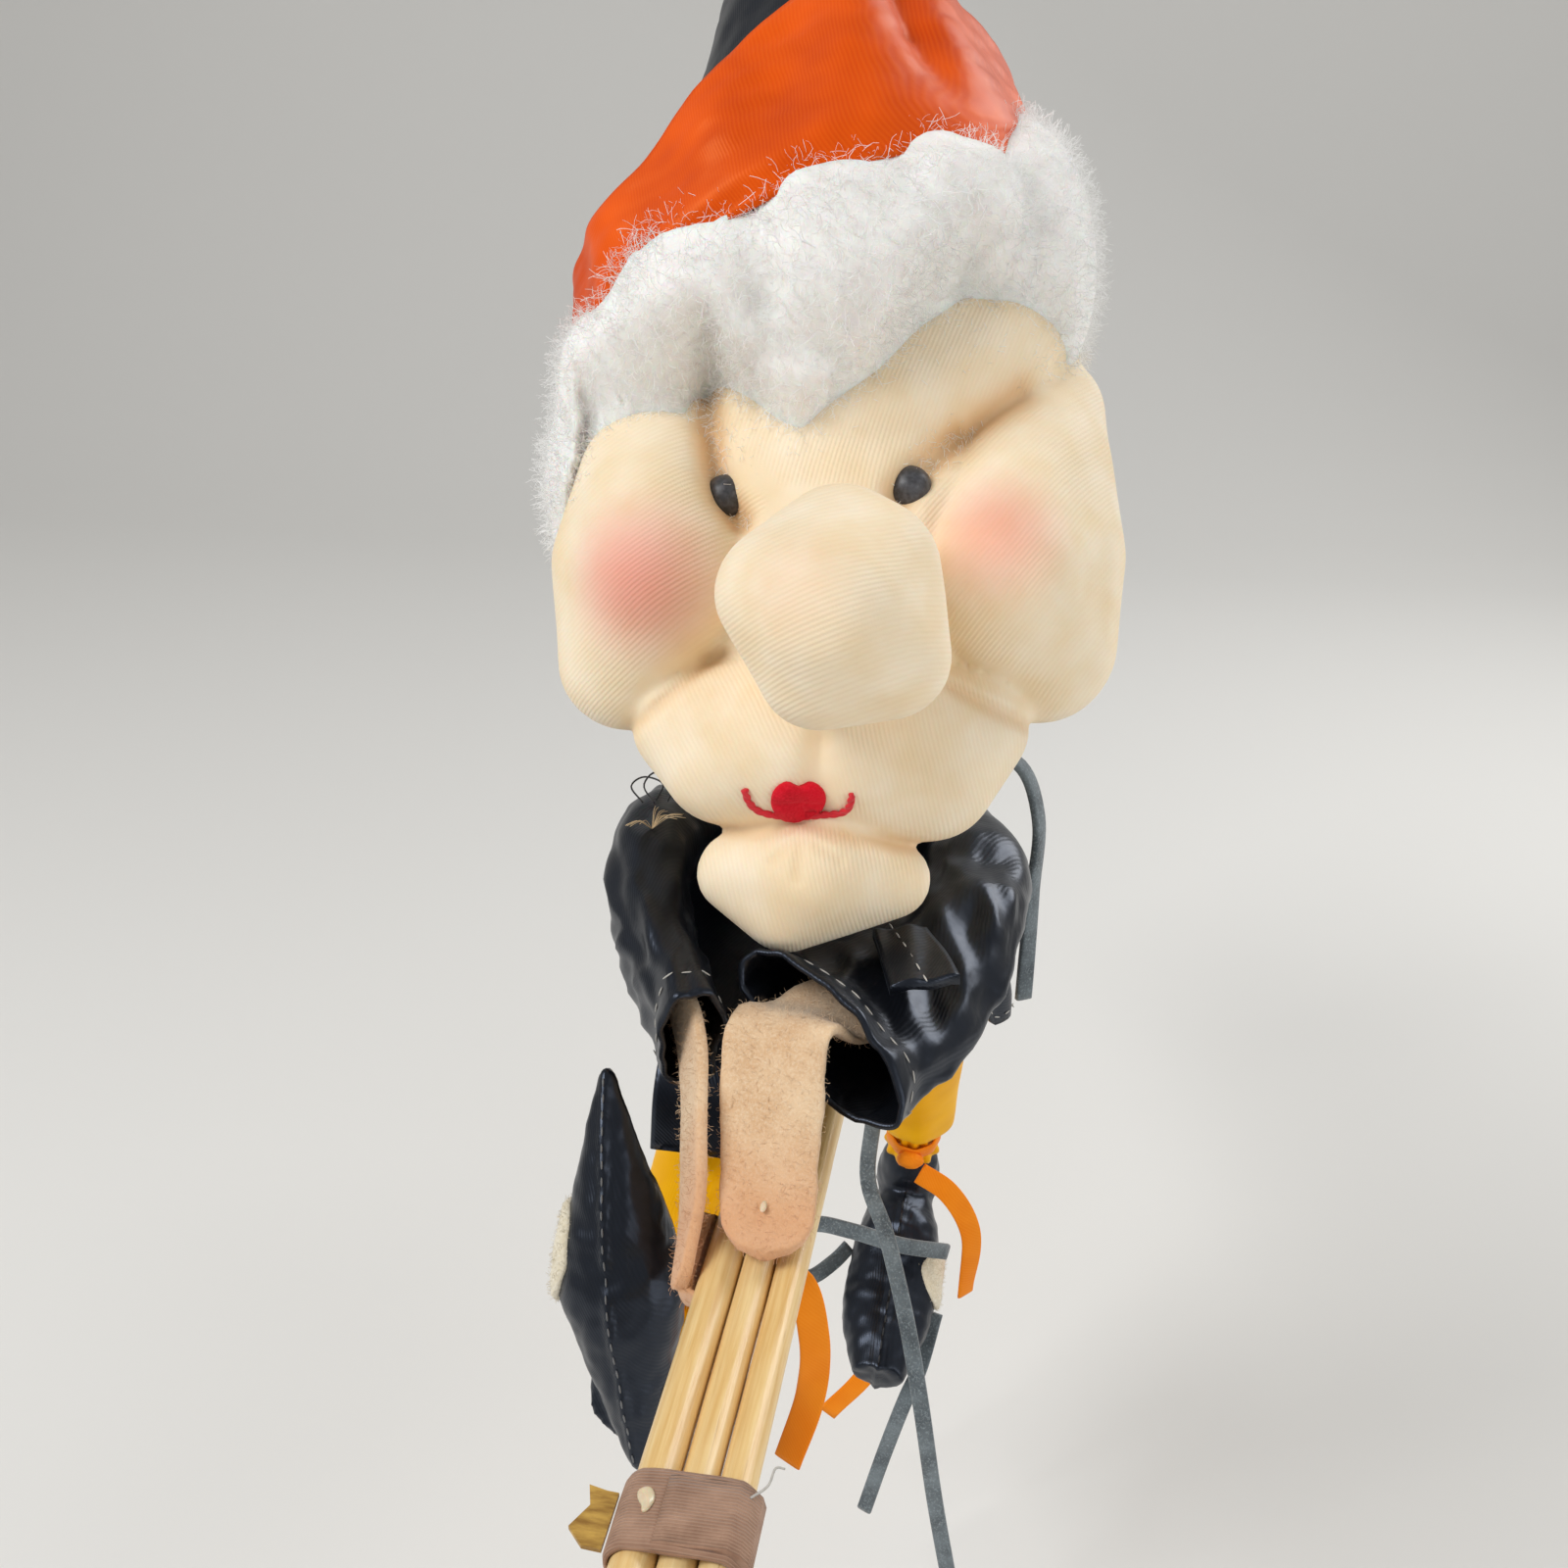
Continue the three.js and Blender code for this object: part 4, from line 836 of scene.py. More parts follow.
def stitch_tree():
    """Stitches laid end to end along a line of edges."""
    tree, given = node_tree("stitch row", "Spacing", "Length", "Radius")
    line = add(tree, "GeometryNodeMeshToCurve", {"Mesh": given["Geometry"]})
    steps = add(tree, "GeometryNodeResampleCurve", {
        "Curve": line, "Length": given["Spacing"],
    }, mode="LENGTH")
    grain = add(tree, "GeometryNodeMeshUVSphere", {"Segments": 6, "Rings": 5, "Radius": 0.5})
    along = add(tree, "GeometryNodeInputTangent")
    aim = add(tree, "FunctionNodeAlignRotationToVector", {"Vector": along}, axis="Z")
    thickness = add(tree, "ShaderNodeMath", {0: given["Radius"], 1: 2.0}, operation="MULTIPLY")
    size = add(tree, "ShaderNodeCombineXYZ", {"X": thickness, "Y": thickness, "Z": given["Length"]})
    return scattered(tree, given, {"Points": steps, "Instance": grain, "Rotation": aim, "Scale": size})


def fibre_tree():
    """Short bent fibres standing on a surface at random angles."""
    tree, given = node_tree("loose fibres", "Density", "Length", "Radius", "Spread")
    points = add(tree, "GeometryNodeDistributePointsOnFaces", {
        "Mesh": given["Geometry"], "Density": given["Density"], "Seed": 11,
    })
    bow = add(tree, "GeometryNodeCurveQuadraticBezier", {
        "Resolution": 2, "Start": (0, 0, -0.05), "Middle": (0.3, 0.0, 0.6), "End": (0.55, 0.4, 0.7),
    })
    ring = add(tree, "GeometryNodeCurvePrimitiveCircle", {"Resolution": 3, "Radius": 1.0})
    thin = add(tree, "ShaderNodeMath", {0: given["Radius"], 1: given["Length"]}, operation="DIVIDE")
    scale = add(tree, "ShaderNodeCombineXYZ", {"X": thin, "Y": thin, "Z": thin})
    section = add(tree, "GeometryNodeTransform", {"Geometry": ring, "Scale": scale})
    fibre = add(tree, "GeometryNodeCurveToMesh", {"Curve": bow, "Profile Curve": section})
    lean = add(tree, "FunctionNodeRandomValue", {
        "Min": (-1, -1, -1), "Max": (1, 1, 1), "Seed": 3,
    }, data_type="FLOAT_VECTOR")
    swing = add(tree, "ShaderNodeVectorMath", {0: lean, "Scale": given["Spread"]}, operation="SCALE")
    way = add(tree, "ShaderNodeVectorMath", {0: points.outputs["Normal"], 1: swing}, operation="ADD")
    aim = add(tree, "FunctionNodeAlignRotationToVector", {"Vector": way}, axis="Z")
    twist = add(tree, "FunctionNodeRandomValue", {"Seed": 5}, data_type="FLOAT").outputs[1]
    turn = add(tree, "ShaderNodeMath", {0: twist, 1: 2 * math.pi}, operation="MULTIPLY")
    spin = add(tree, "FunctionNodeAxisAngleToRotation", {"Axis": (0, 0, 1), "Angle": turn})
    whole = add(tree, "FunctionNodeRotateRotation", {
        "Rotation": aim, "Rotate By": spin,
    }, rotation_space="LOCAL")
    size = add(tree, "FunctionNodeRandomValue", {"Seed": 7}, data_type="FLOAT").outputs[1]
    grown = add(tree, "ShaderNodeMath", {0: size, 1: given["Length"]}, operation="MULTIPLY")
    least = add(tree, "ShaderNodeMath", {0: given["Length"], 1: 0.5}, operation="MULTIPLY")
    length = add(tree, "ShaderNodeMath", {0: grown, 1: least}, operation="ADD")
    return scattered(tree, given, {"Points": points, "Instance": fibre, "Rotation": whole, "Scale": length})


def straw_tree():
    """Straws standing on a disc and leaning outwards from its middle."""
    tree, given = node_tree("straw bundle", "Density", "Length", "Radius", "Splay")
    points = add(tree, "GeometryNodeDistributePointsOnFaces", {
        "Mesh": given["Geometry"], "Density": given["Density"], "Seed": 4,
    })
    place = add(tree, "GeometryNodeInputPosition")
    flat = add(tree, "ShaderNodeVectorMath", {0: place, 1: (1, 0, 1)}, operation="MULTIPLY")
    axis = DOLL.translation * Vector((1, 0, 1))
    from_axis = add(tree, "ShaderNodeVectorMath", {0: flat, 1: axis}, operation="SUBTRACT")
    outward = add(tree, "ShaderNodeVectorMath", {0: from_axis, "Scale": given["Splay"]}, operation="SCALE")
    stray = add(tree, "FunctionNodeRandomValue", {
        "Min": (-0.05, 1, -0.05), "Max": (0.05, 1, 0.05), "Seed": 9,
    }, data_type="FLOAT_VECTOR")
    way = add(tree, "ShaderNodeVectorMath", {0: outward, 1: stray}, operation="ADD")
    aim = add(tree, "FunctionNodeAlignRotationToVector", {"Vector": way}, axis="Z")
    stalk = add(tree, "GeometryNodeMeshCone", {
        "Vertices": 6, "Side Segments": 4, "Radius Top": 0.35, "Radius Bottom": 1.0, "Depth": 1.0,
    })
    size = add(tree, "FunctionNodeRandomValue", {2: 0.86, 3: 1.0, "Seed": 2}, data_type="FLOAT").outputs[1]
    tall = add(tree, "ShaderNodeMath", {0: size, 1: given["Length"]}, operation="MULTIPLY")
    scale = add(tree, "ShaderNodeCombineXYZ", {"X": given["Radius"], "Y": given["Radius"], "Z": tall})
    return scattered(tree, given, {"Points": points, "Instance": stalk, "Rotation": aim, "Scale": scale})


def grow(obj, tree, material, **sizes):
    """Run a geometry tree on a piece, with its sizes in metres, and keep the plain mesh."""
    modifier = obj.modifiers.new("nodes", "NODES")
    modifier.node_group = tree
    for socket in tree.interface.items_tree:
        if socket.name in sizes:
            modifier[socket.identifier] = float(sizes[socket.name])
        if socket.name == "Material":
            modifier[socket.identifier] = material
    settle(obj)
    paint(obj, material)


STITCHES = stitch_tree()
FIBRES = fibre_tree()


def stitch_row(name, line, place, body, material, slot, spacing, length, radius):
    """A row of stitches in mm along a line that lies on the cloth."""
    edges = [(i, i + 1) for i in range(len(line) - 1)]
    obj = link(name, drawn(name, place, line, edges, []))
    grow(obj, STITCHES, material, Spacing=spacing * MM, Length=length * MM, Radius=radius * MM)
    ride(obj, body, slot)


def fuzz(name, source, body, material, slot, density, length, radius, spread):
    """Loose fibres over a finished piece: how many on a square mm, and their length and radius in mm."""
    obj = link(name, source.data.copy())
    grow(obj, FIBRES, material, Density=density * 1e6, Length=length * MM, Radius=radius * MM, Spread=spread)
    ride(obj, body, slot)


# Broom

BROOM_FRONT = -75
REED_LENGTH = 281
# Radius and place across the broom of each reed
REEDS = {"left": (2.65, -4.8), "middle": (2.25, 0.4), "right": (2.25, 5.2)}
VARNISH = 0.1
SAWN_EDGE = 0.25


def broom_sticks():
    rows = 120
    for side, (radius, x) in REEDS.items():
        line = [Vector((x, BROOM_FRONT + REED_LENGTH * k / rows, 0)) for k in range(rows + 1)]
        radii = [radius + VARNISH + 0.05 * ripple(p, 9, x) for p in line]
        radii[0] -= SAWN_EDGE
        radii[-1] -= SAWN_EDGE
        reed = rod(line, radii, 28)
        piece(f"broom_stick_{side}_reed", reed, DOLL, REED, "body", "reed", f"broom_stick_{side}")


# The band round the reeds: half width and radius of the outline that it lies on, then place along the
# broom and how far it stands out, and the places along the broom of the lap's cuts
BAND_CORE = (7.45, 2.65)
BAND_PROFILE = [
    (-52.4, 0.32), (-52.4, 0.8), (-51.5, 1.1), (-48, 1.05), (-44, 1.1), (-41, 1.0), (-40.2, 0.75),
    (-40.2, 0.32),
]
LAP_ROWS = (-51.6, -48, -44, -41.6)


def stadium(half_width, radius):
    """Points round an outline with straight long sides and round ends."""
    points = []
    for angle in turns(72):
        c, s = math.cos(angle), math.sin(angle)
        x = (half_width - radius) * (1 if c > 0 else -1) * min(1, abs(c) * 3) + radius * c
        points.append((x, radius * s))
    return points


def lap_section():
    """A thin layer that ends on the band's top, a little left of its middle."""
    top = [(-2.5 + 11 * k / 10, 3.75 + 0.25 * (k > 0)) for k in range(9)]
    side = [(7.6, 3.3), (8.6, 2.2), (9.0, 0.6)]
    outer = [(x, z + 0.12) for x, z in top] + [(x + 0.3, z) for x, z in side]
    inner = [(x, z - 0.3) for x, z in reversed(side)] + [(x, z - 0.35) for x, z in reversed(top)]
    return outer + inner


def binding():
    """The ribbon band: two turns, the outer one shorter, with a soft edge and a lap."""
    rings = []
    for y, out in BAND_PROFILE:
        ring = []
        for x, z in stadium(*BAND_CORE):
            reach = out + 0.12 * ripple((x, y, z), 3.0, 2) * (out > 0.5)
            way = Vector((x * 0.35, 0, z)).normalized()
            ring.append((x + way.x * reach, y + 0.25 * ripple((x, 0, z), 4, 5), z + way.z * reach))
        rings.append(ring)
    band = hoop(rings)
    piece("front_binding_ribbon", band, DOLL, PAPER_RIBBON, "body", "brown_ribbon", "front_binding")
    lap = loft([[(x, y + 0.2 * ripple((x, y, z), 3), z) for x, z in lap_section()] for y in LAP_ROWS])
    piece("front_binding_lap", lap, DOLL, PAPER_RIBBON, "body", "brown_ribbon")


TAB_OUTLINE = [
    (-8.9, -50.6), (-8.9, -42), (-10.4, -41.9), (-12.8, -41.4), (-11.9, -44.4), (-13.6, -48), (-11.4, -50.4),
]
TAB_THICKNESS = 0.6
THREAD_RADIUS = 0.16


def tab_and_glue():
    """The golden tab: a notched leaf of stiff paper, with the drop of glue that holds the band."""
    top = [Vector((x, y, 0.35 + 0.5 * ((x + 8.9) / 8) ** 2)) for x, y in TAB_OUTLINE]
    bottom = [p - Vector((0, 0, TAB_THICKNESS)) for p in top]
    leaf = build("binding_tab_paper", loft([bottom, top]), DOLL, TAB, smooth=False)
    ride(leaf, "body", "paper_tab", "binding_tab")
    glue = build("binding_glue", ball((-4.6, -45.6, 3.6), (1.3, 1.9, 0.6), 24, 12), DOLL, GLUE)
    reshape(glue, DOLL, lambda p: p + Vector((0.9 * ripple(p, 2.2, 1), 0.8 * ripple(p, 1.9, 2), 0)))
    ride(glue, "body", "paper_tab")
    line = curve_through([(7.6, -43, 3.4), (9.5, -41.5, 4.2), (10.2, -40, 5.6), (11.2, -39.6, 5.2)], 20)
    thread = rod(line, [THREAD_RADIUS] * len(line), 6)
    piece("binding_thread_end", thread, DOLL, WHITE_THREAD, "body", "paper_tab")


# The straws stand on a flat ring behind the tie and are bent a little between these places
STRAW_RING = (9.2, 13.3)
STRAW_START = 192.6
STRAW_CUT = 192.2
STRAW_BEND = (200, 305)
STRAW_BOW = 1.6
# Place along the broom and radius of the ribbon that ties the straws
TIE_PROFILE = ((187.8, 14.4), (187.6, 15.2), (190, 15.7), (194, 15.6), (196.4, 15.1), (196.2, 14.4))


def straw_brush():
    inner, outer = STRAW_RING
    near = [(inner * math.cos(angle), STRAW_START, inner * math.sin(angle)) for angle in turns(24)]
    far = [(outer / inner * x, y, outer / inner * z) for x, y, z in near]
    corners, faces = loft([near, far], False, False)
    straws = link("broom_brush_straws", drawn("broom_brush_straws", DOLL, corners, [], faces))
    grow(straws, straw_tree(), STRAW, Density=2.6e6, Length=0.119, Radius=0.0008, Splay=11.5)

    def bent(p):
        bend = STRAW_BOW * smoothstep(p.y, *STRAW_BEND)
        p.x += bend * ripple((p.x, 0, p.z), 5, 1)
        p.z += bend * ripple((p.x, 0, p.z), 5, 2)
        return p

    reshape(straws, DOLL, bent)
    rework(straws, cut_flat)
    ride(straws, "body", "straw", "broom_brush")
    rings = []
    for y, r in TIE_PROFILE:
        ring = []
        for k, angle in enumerate(turns(64)):
            x = (r + 0.12 * ripple((k, y, 1), 3)) * math.cos(angle)
            z = (r + 0.12 * ripple((k, y, 2), 3)) * math.sin(angle)
            ring.append((x, y, z))
        rings.append(ring)
    piece("brush_tie_ribbon", hoop(rings), DOLL, PAPER_RIBBON, "body", "brown_ribbon", "brush_tie")


def cut_flat(shape):
    """Cut away what stands in front of the straws' flat start and close the cut."""
    start = (DOLL @ Vector((0, STRAW_CUT, 0))).y
    everything = shape.verts[:] + shape.edges[:] + shape.faces[:]
    cut = bmesh.ops.bisect_plane(
        shape, geom=everything, plane_co=(0, start, 0), plane_no=(0, -1, 0), clear_outer=True,
    )
    edges = [e for e in cut["geom_cut"] if isinstance(e, bmesh.types.BMEdge)]
    bmesh.ops.holes_fill(shape, edges=edges)


# Body and dress

def softened_copy(node, name, material, body, slot):
    """A stuffed skin over the space that a plain solid holds."""
    obj = link(name, bpy.data.objects[node].data.copy())
    rework(obj, lambda shape: bmesh.ops.remove_doubles(shape, verts=shape.verts, dist=1e-6))
    grown_together(obj, voxel=0.8, smoothing=6)
    paint(obj, material)
    ride(obj, body, slot, node)


# Height, place along the broom, half width and half depth from the collar down to where the skirt starts
YOKE = [(33, 100, 10.5, 10.5), (31, 102, 13.5, 12), (25, 105, 18.5, 15.5), (15, 106, 21, 18.5)]
YOKE_SHARE = 0.45
SKIRT_Y = 106
# Half width, half depth and height of the skirt's top, where it leaves the yoke and where it is full
SKIRT_START = (21, 18.5, 15)
SKIRT_FULL = (28.8, 23, 12.2)
# How much wider and deeper the skirt is at its hem
SKIRT_FLARE = (2.5, 11)
# The hem hangs low at the doll's sides and lies higher in front and at the back
HEM_LOW = -17
HEM_HIGH = 10.5
DRESS_CLOTH = 0.7
# How far stitches stand off the cloth, and the spacing, length and radius of the white ones
STITCH_LIFT = 0.12
HEM_STITCHES = (3, 1.9, 0.14)


def dress_point(row, angle):
    """A place on the dress: row runs from 0 at the collar to 1 at the hem."""
    c, s = math.cos(angle), math.sin(angle)
    side = abs(s)
    lifted = smoothstep(side, 0.15, 0.5) if s < 0 else smoothstep(side, 0.75, 0.95)
    hem = HEM_LOW + (HEM_HIGH - HEM_LOW) * lifted
    if row < YOKE_SHARE:
        z, y, wide, deep = blended([Vector(ring) for ring in YOKE], row / YOKE_SHARE)
        crease = 0.9 * (1 - row / YOKE_SHARE) ** 2 * math.cos(22 * angle)
        crease += 0.6 * ripple((wide * c, deep * s, z), 7, 3)
        return Vector(((wide + crease) * c, y + (deep + crease) * s, z))
    t = (row - YOKE_SHARE) / (1 - YOKE_SHARE)
    upper = smoothstep(t, 0, 0.12)
    wide, deep, top = (start + (full - start) * upper for start, full in zip(SKIRT_START, SKIRT_FULL))
    wide += SKIRT_FLARE[0] * t
    deep += SKIRT_FLARE[1] * t
    z = top + (hem - top) * max(0, (t - 0.1) / 0.9)
    fold = t * (1.3 * math.cos(12 * angle) + 0.6 * math.cos(19 * angle + 1))
    fold += 0.9 * ripple((wide * c, deep * s, z), 8, 4)
    return Vector(((wide + fold) * c, SKIRT_Y + (deep + fold) * s, z))


def dress():
    rows, around = 48, 192
    rings = [[dress_point(row / rows, angle) for angle in turns(around)] for row in range(rows + 1)]
    obj = build("dress_satin", loft(rings, False, False), DOLL, BLACK)
    thicken(obj, DRESS_CLOTH)
    ride(obj, "body", "black_satin", "dress")
    line = [dress_point(0.97, 2 * math.pi * k / around) for k in range(around + 1)]
    line = [p + Vector((p.x, p.y - SKIRT_Y, 0)).normalized() * STITCH_LIFT for p in line]
    stitch_row("dress_hem_stitches", line, DOLL, "body", WHITE_THREAD, "cream_felt", *HEM_STITCHES)


def bodice_front():
    """The bodice's front, which sags between the sleeves under the chin, and the flap that hangs from it."""
    across = [Vector((1, 0, 0))] * 25
    line = curve_through([(-9, 88, 18), (-9, 72, 16), (-9, 60, 14.5), (-6, 50, 12.5)], 24)
    cloth = strip(line, across, width=38, thickness=1, curl=2)
    obj = build("bodice_front_satin", cloth, DOLL, BLACK)
    ride(obj, "body", "black_satin")
    line = curve_through([(-15, 60, 13), (-15.5, 48, 10), (-16, 40, 3), (-16.5, 38, -8)], 24)
    cloth = strip(line, across, width=16, thickness=0.9, curl=0.6)
    flap = build("dress_front_flap", cloth, DOLL, BLACK)
    ride(flap, "body", "black_satin")


def collar_threads():
    """A tuft of pale thread ends and two loops of black thread on the gathered sleeve head."""
    root = Vector((-27.5, 58, 41.6))
    ends = []
    for k in range(18):
        angle = 1.9 * k / 17 - 0.2 if k % 3 else 3.4 + 0.06 * k
        reach = 4.6 + 2.6 * ripple((k, 0, 0), 1.7, 2)
        rise = 1.6 + 0.8 * math.cos(3 * angle)
        tip = root + Vector((reach * math.cos(angle), 1.2 * reach * math.sin(angle), rise))
        bend = root.lerp(tip, 0.55) + Vector((0, 0, 1.1))
        ends.append(rod(curve_through([root, bend, tip], 8), [0.06] * 9, 5))
    piece("collar_thread_ends", together(ends), DOLL, PALE_THREAD, "body", "cream_felt")
    loops = []
    for k in range(2):
        start = Vector((-31 + 2 * k, 66, 42.5))
        around = [(0, 0, 0), (-2.5, 2 + k, 2), (-1, 5, 2.6 + k), (2.6, 4, 2), (2.2, 0.5, 0.4)]
        route = [start + Vector(step) for step in around]
        loops.append(rod(curve_through(route, 24), [THREAD_RADIUS] * 25, 6))
    piece("collar_thread_loops", together(loops), DOLL, BLACK_THREAD, "body", "black_satin")


# Sleeves and arms

# Centre, half width, half height and turn in degrees of each sleeve's cuts from the shoulder to the hem
LEFT_SLEEVE = [
    ((20, 100, 24), 9, 8, 0), ((25, 84, 25), 10, 8.5, 0), ((23, 64, 23.5), 11, 8, 0),
    ((15.5, 46, 20.8), 13, 6.8, 9), ((8.5, 34.5, 21.2), 16, 6, 21), ((5.5, 26.5, 24.2), 18, 7.4, 31),
]
RIGHT_SLEEVE = [
    ((-20, 100, 24), 9, 8, 0), ((-27, 84, 30), 9, 8.5, 0), ((-28.5, 64, 34), 8.5, 8.5, 0),
    ((-24, 45, 28), 7.5, 8.8, 0), ((-17, 32, 23.5), 6.2, 10, 0), ((-14, 25.5, 22), 5.7, 10.5, 0),
]
SLEEVE_CLOTH = 0.8
SLEEVE_STITCHES = (3.1, 2.0, 0.14)


def sleeve_point(sections, line, aims, i, angle, seed):
    """A place on a sleeve at one point of its middle line, and the way out of the sleeve there."""
    t = i / (len(line) - 1)
    wide, tall, turn = (blended([section[part] for section in sections], t) for part in (1, 2, 3))
    turn = math.radians(turn)
    across = aims[i].cross(Vector((0, 0, 1))).normalized()
    rise = across.cross(aims[i])
    x, z = wide * math.cos(angle), tall * math.sin(angle)
    place = line[i] + across * (x * math.cos(turn) - z * math.sin(turn))
    place += rise * (x * math.sin(turn) + z * math.cos(turn))
    out = (across * math.cos(angle) + rise * math.sin(angle)).normalized()
    slack = smoothstep(t, 0.05, 0.35)
    crease = 2.0 * (0.22 - abs(ripple((place.x * 1.3, place.y * 0.7, place.z * 1.3), 10, seed)))
    crease += 0.5 * ripple((place.x * 1.6, place.y * 0.8, place.z * 1.6), 5, seed)
    crease += 0.35 * math.sin(3 * angle + 14 * t + seed) * slack
    crease += 0.35 * math.cos(7 * angle + seed) * t
    return place + out * (crease * slack - 0.4), out


def sleeve(side, sections, seed):
    rows, around = 64, 96
    line = curve_through([section[0] for section in sections], rows)
    aims = directions(line)

    def at(i, k):
        return sleeve_point(sections, line, aims, i, 2 * math.pi * k / around, seed)

    rings = [[at(i, k)[0] for k in range(around)] for i in range(rows + 1)]
    obj = build(f"{side}_sleeve_satin", loft(rings, False, False), DOLL, BLACK)
    thicken(obj, SLEEVE_CLOTH)
    ride(obj, "body", "black_satin", f"{side}_sleeve")
    hem = []
    for k in range(around + 1):
        p, out = at(rows - 4, k)
        hem.append(p + out * STITCH_LIFT)
    name = f"{side}_sleeve_hem_stitches"
    stitch_row(name, hem, DOLL, "body", WHITE_THREAD, "cream_felt", *SLEEVE_STITCHES)


# Place, direction of the width, and width of each arm from the shoulder to the finger tips
LEFT_ARM = [
    ((24.5, 82.5, 25), (1, 0, 0), 10), ((22.5, 64, 24), (1, 0, 0), 11),
    ((14.5, 46, 21.5), (1, 0, -0.15), 12), ((5, 34, 23.5), (1, 0, -0.4), 13),
    ((-0.3, 26, 25.5), (1, 0, -0.35), 14.5), ((0, 15, 15.5), (1, 0, 0), 16),
    ((0.9, 7.5, 8.4), (1, 0, 0), 15.8), ((1.5, 2.5, 5.6), (1, 0, 0), 14.4),
    ((1.7, -1.4, 4.8), (1, 0, 0), 12.5),
]
RIGHT_ARM = [
    ((-27.2, 82, 30.4), (0, 0.2, 1), 9), ((-27, 62, 33.4), (0, 0.2, 1), 10),
    ((-22, 42, 27), (0, 0.3, 1), 10.5),
    ((-14.5, 27, 21.5), (0.3, -0.5, 0.85), 12), ((-11.4, 14, 13), (0.42, -0.5, 0.8), 12),
    ((-10.2, 6, 5), (0.4, -0.55, 0.75), 11), ((-9.8, -4, -0.5), (0.3, -0.5, 0.85), 9),
]
HALF_FELT = 1.05
# Fibres on a square mm, their length and radius in mm, and how far they lean
HAND_FUZZ = (1.2, 0.8, 0.025, 1.1)


def felt_arm(name, stops, node, seed):
    """A mitten cut from felt: an even strip that widens to the palm and ends in a round tip."""
    rows = 72
    line = curve_through([stop[0] for stop in stops], rows)
    rings = []
    for i, (p, d) in enumerate(zip(line, directions(line))):
        t = i / rows
        a = square_to(blended([Vector(stop[1]) for stop in stops], t), d)
        n = d.cross(a)
        half = blended([stop[2] for stop in stops], t) / 2
        left = (1 - t) * (len(line) - 1) * (line[1] - line[0]).length / max(half, 1)
        if left < 1:
            half *= math.sqrt(max(0.01, 1 - (1 - left) ** 2))
        ring = []
        for angle in turns(28):
            x = half * squared(math.cos(angle), 0.4)
            z = HALF_FELT * squared(math.sin(angle), 0.5) + 0.7 * ripple((x + seed, 30 * t, 0), 6, seed)
            wobble = 0.25 * ripple(p + a * x, 2.5, seed + 3)
            ring.append(p + a * (x + wobble) + n * z)
        rings.append(ring)
    obj = piece(name, loft(rings), DOLL, HAND_FELT, "body", "hand_felt", node)
    fuzz(f"{name}_fuzz", obj, "body", HAND_FELT, "hand_felt", *HAND_FUZZ)


# The lower hand's palm: where it starts along the broom, its length, the radii of its outer and inner
# sides, and how far in degrees it wraps the reeds on the doll's right and left
PALM_START = -4
PALM_LENGTH = 17
PALM_SIDES = (5.0, 3.1)
PALM_WRAP = (108, 25)


def palm():
    """The lower hand's felt, folded up round the reeds from below."""
    last = 24
    rings = []
    for k in range(last + 1):
        y = PALM_START + PALM_LENGTH * k / last
        reach = 1.0 if 1 < k < last - 1 else 0.82
        ring = []
        for part, out in enumerate(PALM_SIDES):
            for j in range(last + 1):
                u = -1 + 2 * (last - j if part else j) / last
                angle = u * math.radians(PALM_WRAP[u >= 0]) * reach
                x = 5.2 * math.copysign(min(1, abs(math.sin(angle)) * 1.3), u) + out * math.sin(angle)
                z = -out * math.cos(angle) + 0.3 * ripple((x, y, part), 5, 3)
                ring.append((x, y + 0.4 * ripple((x, 0, u), 4), z))
        rings.append(ring)
    obj = piece("right_palm_felt", loft(rings), DOLL, HAND_FELT, "body", "hand_felt")
    fuzz("right_palm_felt_fuzz", obj, "body", HAND_FELT, "hand_felt", *HAND_FUZZ)


def glue_drop():
    drop = ball((0.6, 5.2, 8.4), (0.5, 1.3, 0.45), 16, 10)
    piece("hand_glue_drop", drop, DOLL, GLUE, "body", "hand_felt")


def neckline_facing():
    """The folded facing that sticks out beside the chin, with its raw end."""
    rows = 30
    line = curve_through([(15, 50, 30.2), (18, 42, 30.2), (20.5, 35, 29.7)], rows)
    rings, edge = [], []
    for i, (p, d) in enumerate(zip(line, directions(line))):
        a = square_to(Vector((1, -0.3, 0)), d)
        n = d.cross(a)
        t = i / rows
        half = 4.5 + t
        ring = []
        for k in range(32):
            lower = k >= 16
            u = -1 + 2 * (31 - k if lower else k) / 15
            z = (-1.15 if lower else 1.15) * (1 - 0.25 * abs(u) ** 3) + 0.35 * math.sin(5 * u + 4 * t)
            if lower:
                z += 0.55 * (1 - abs(u)) * t
            ring.append(p + a * (half * u) + n * z)
        rings.append(ring)
        edge.append(p + a * (-1.5 + i * 0.05) + n * 1.35)
    piece("neckline_strip_satin", loft(rings), DOLL, BLACK, "body", "black_satin", "neckline_strip")
    stitch_row("neckline_strip_stitches", edge, DOLL, "body", WHITE_THREAD, "cream_felt", *HEM_STITCHES)


# Head

# Middle and radii of the stuffing behind the face
SKULL = ((0, 3, 9), (35.5, 35.5, 48.5))
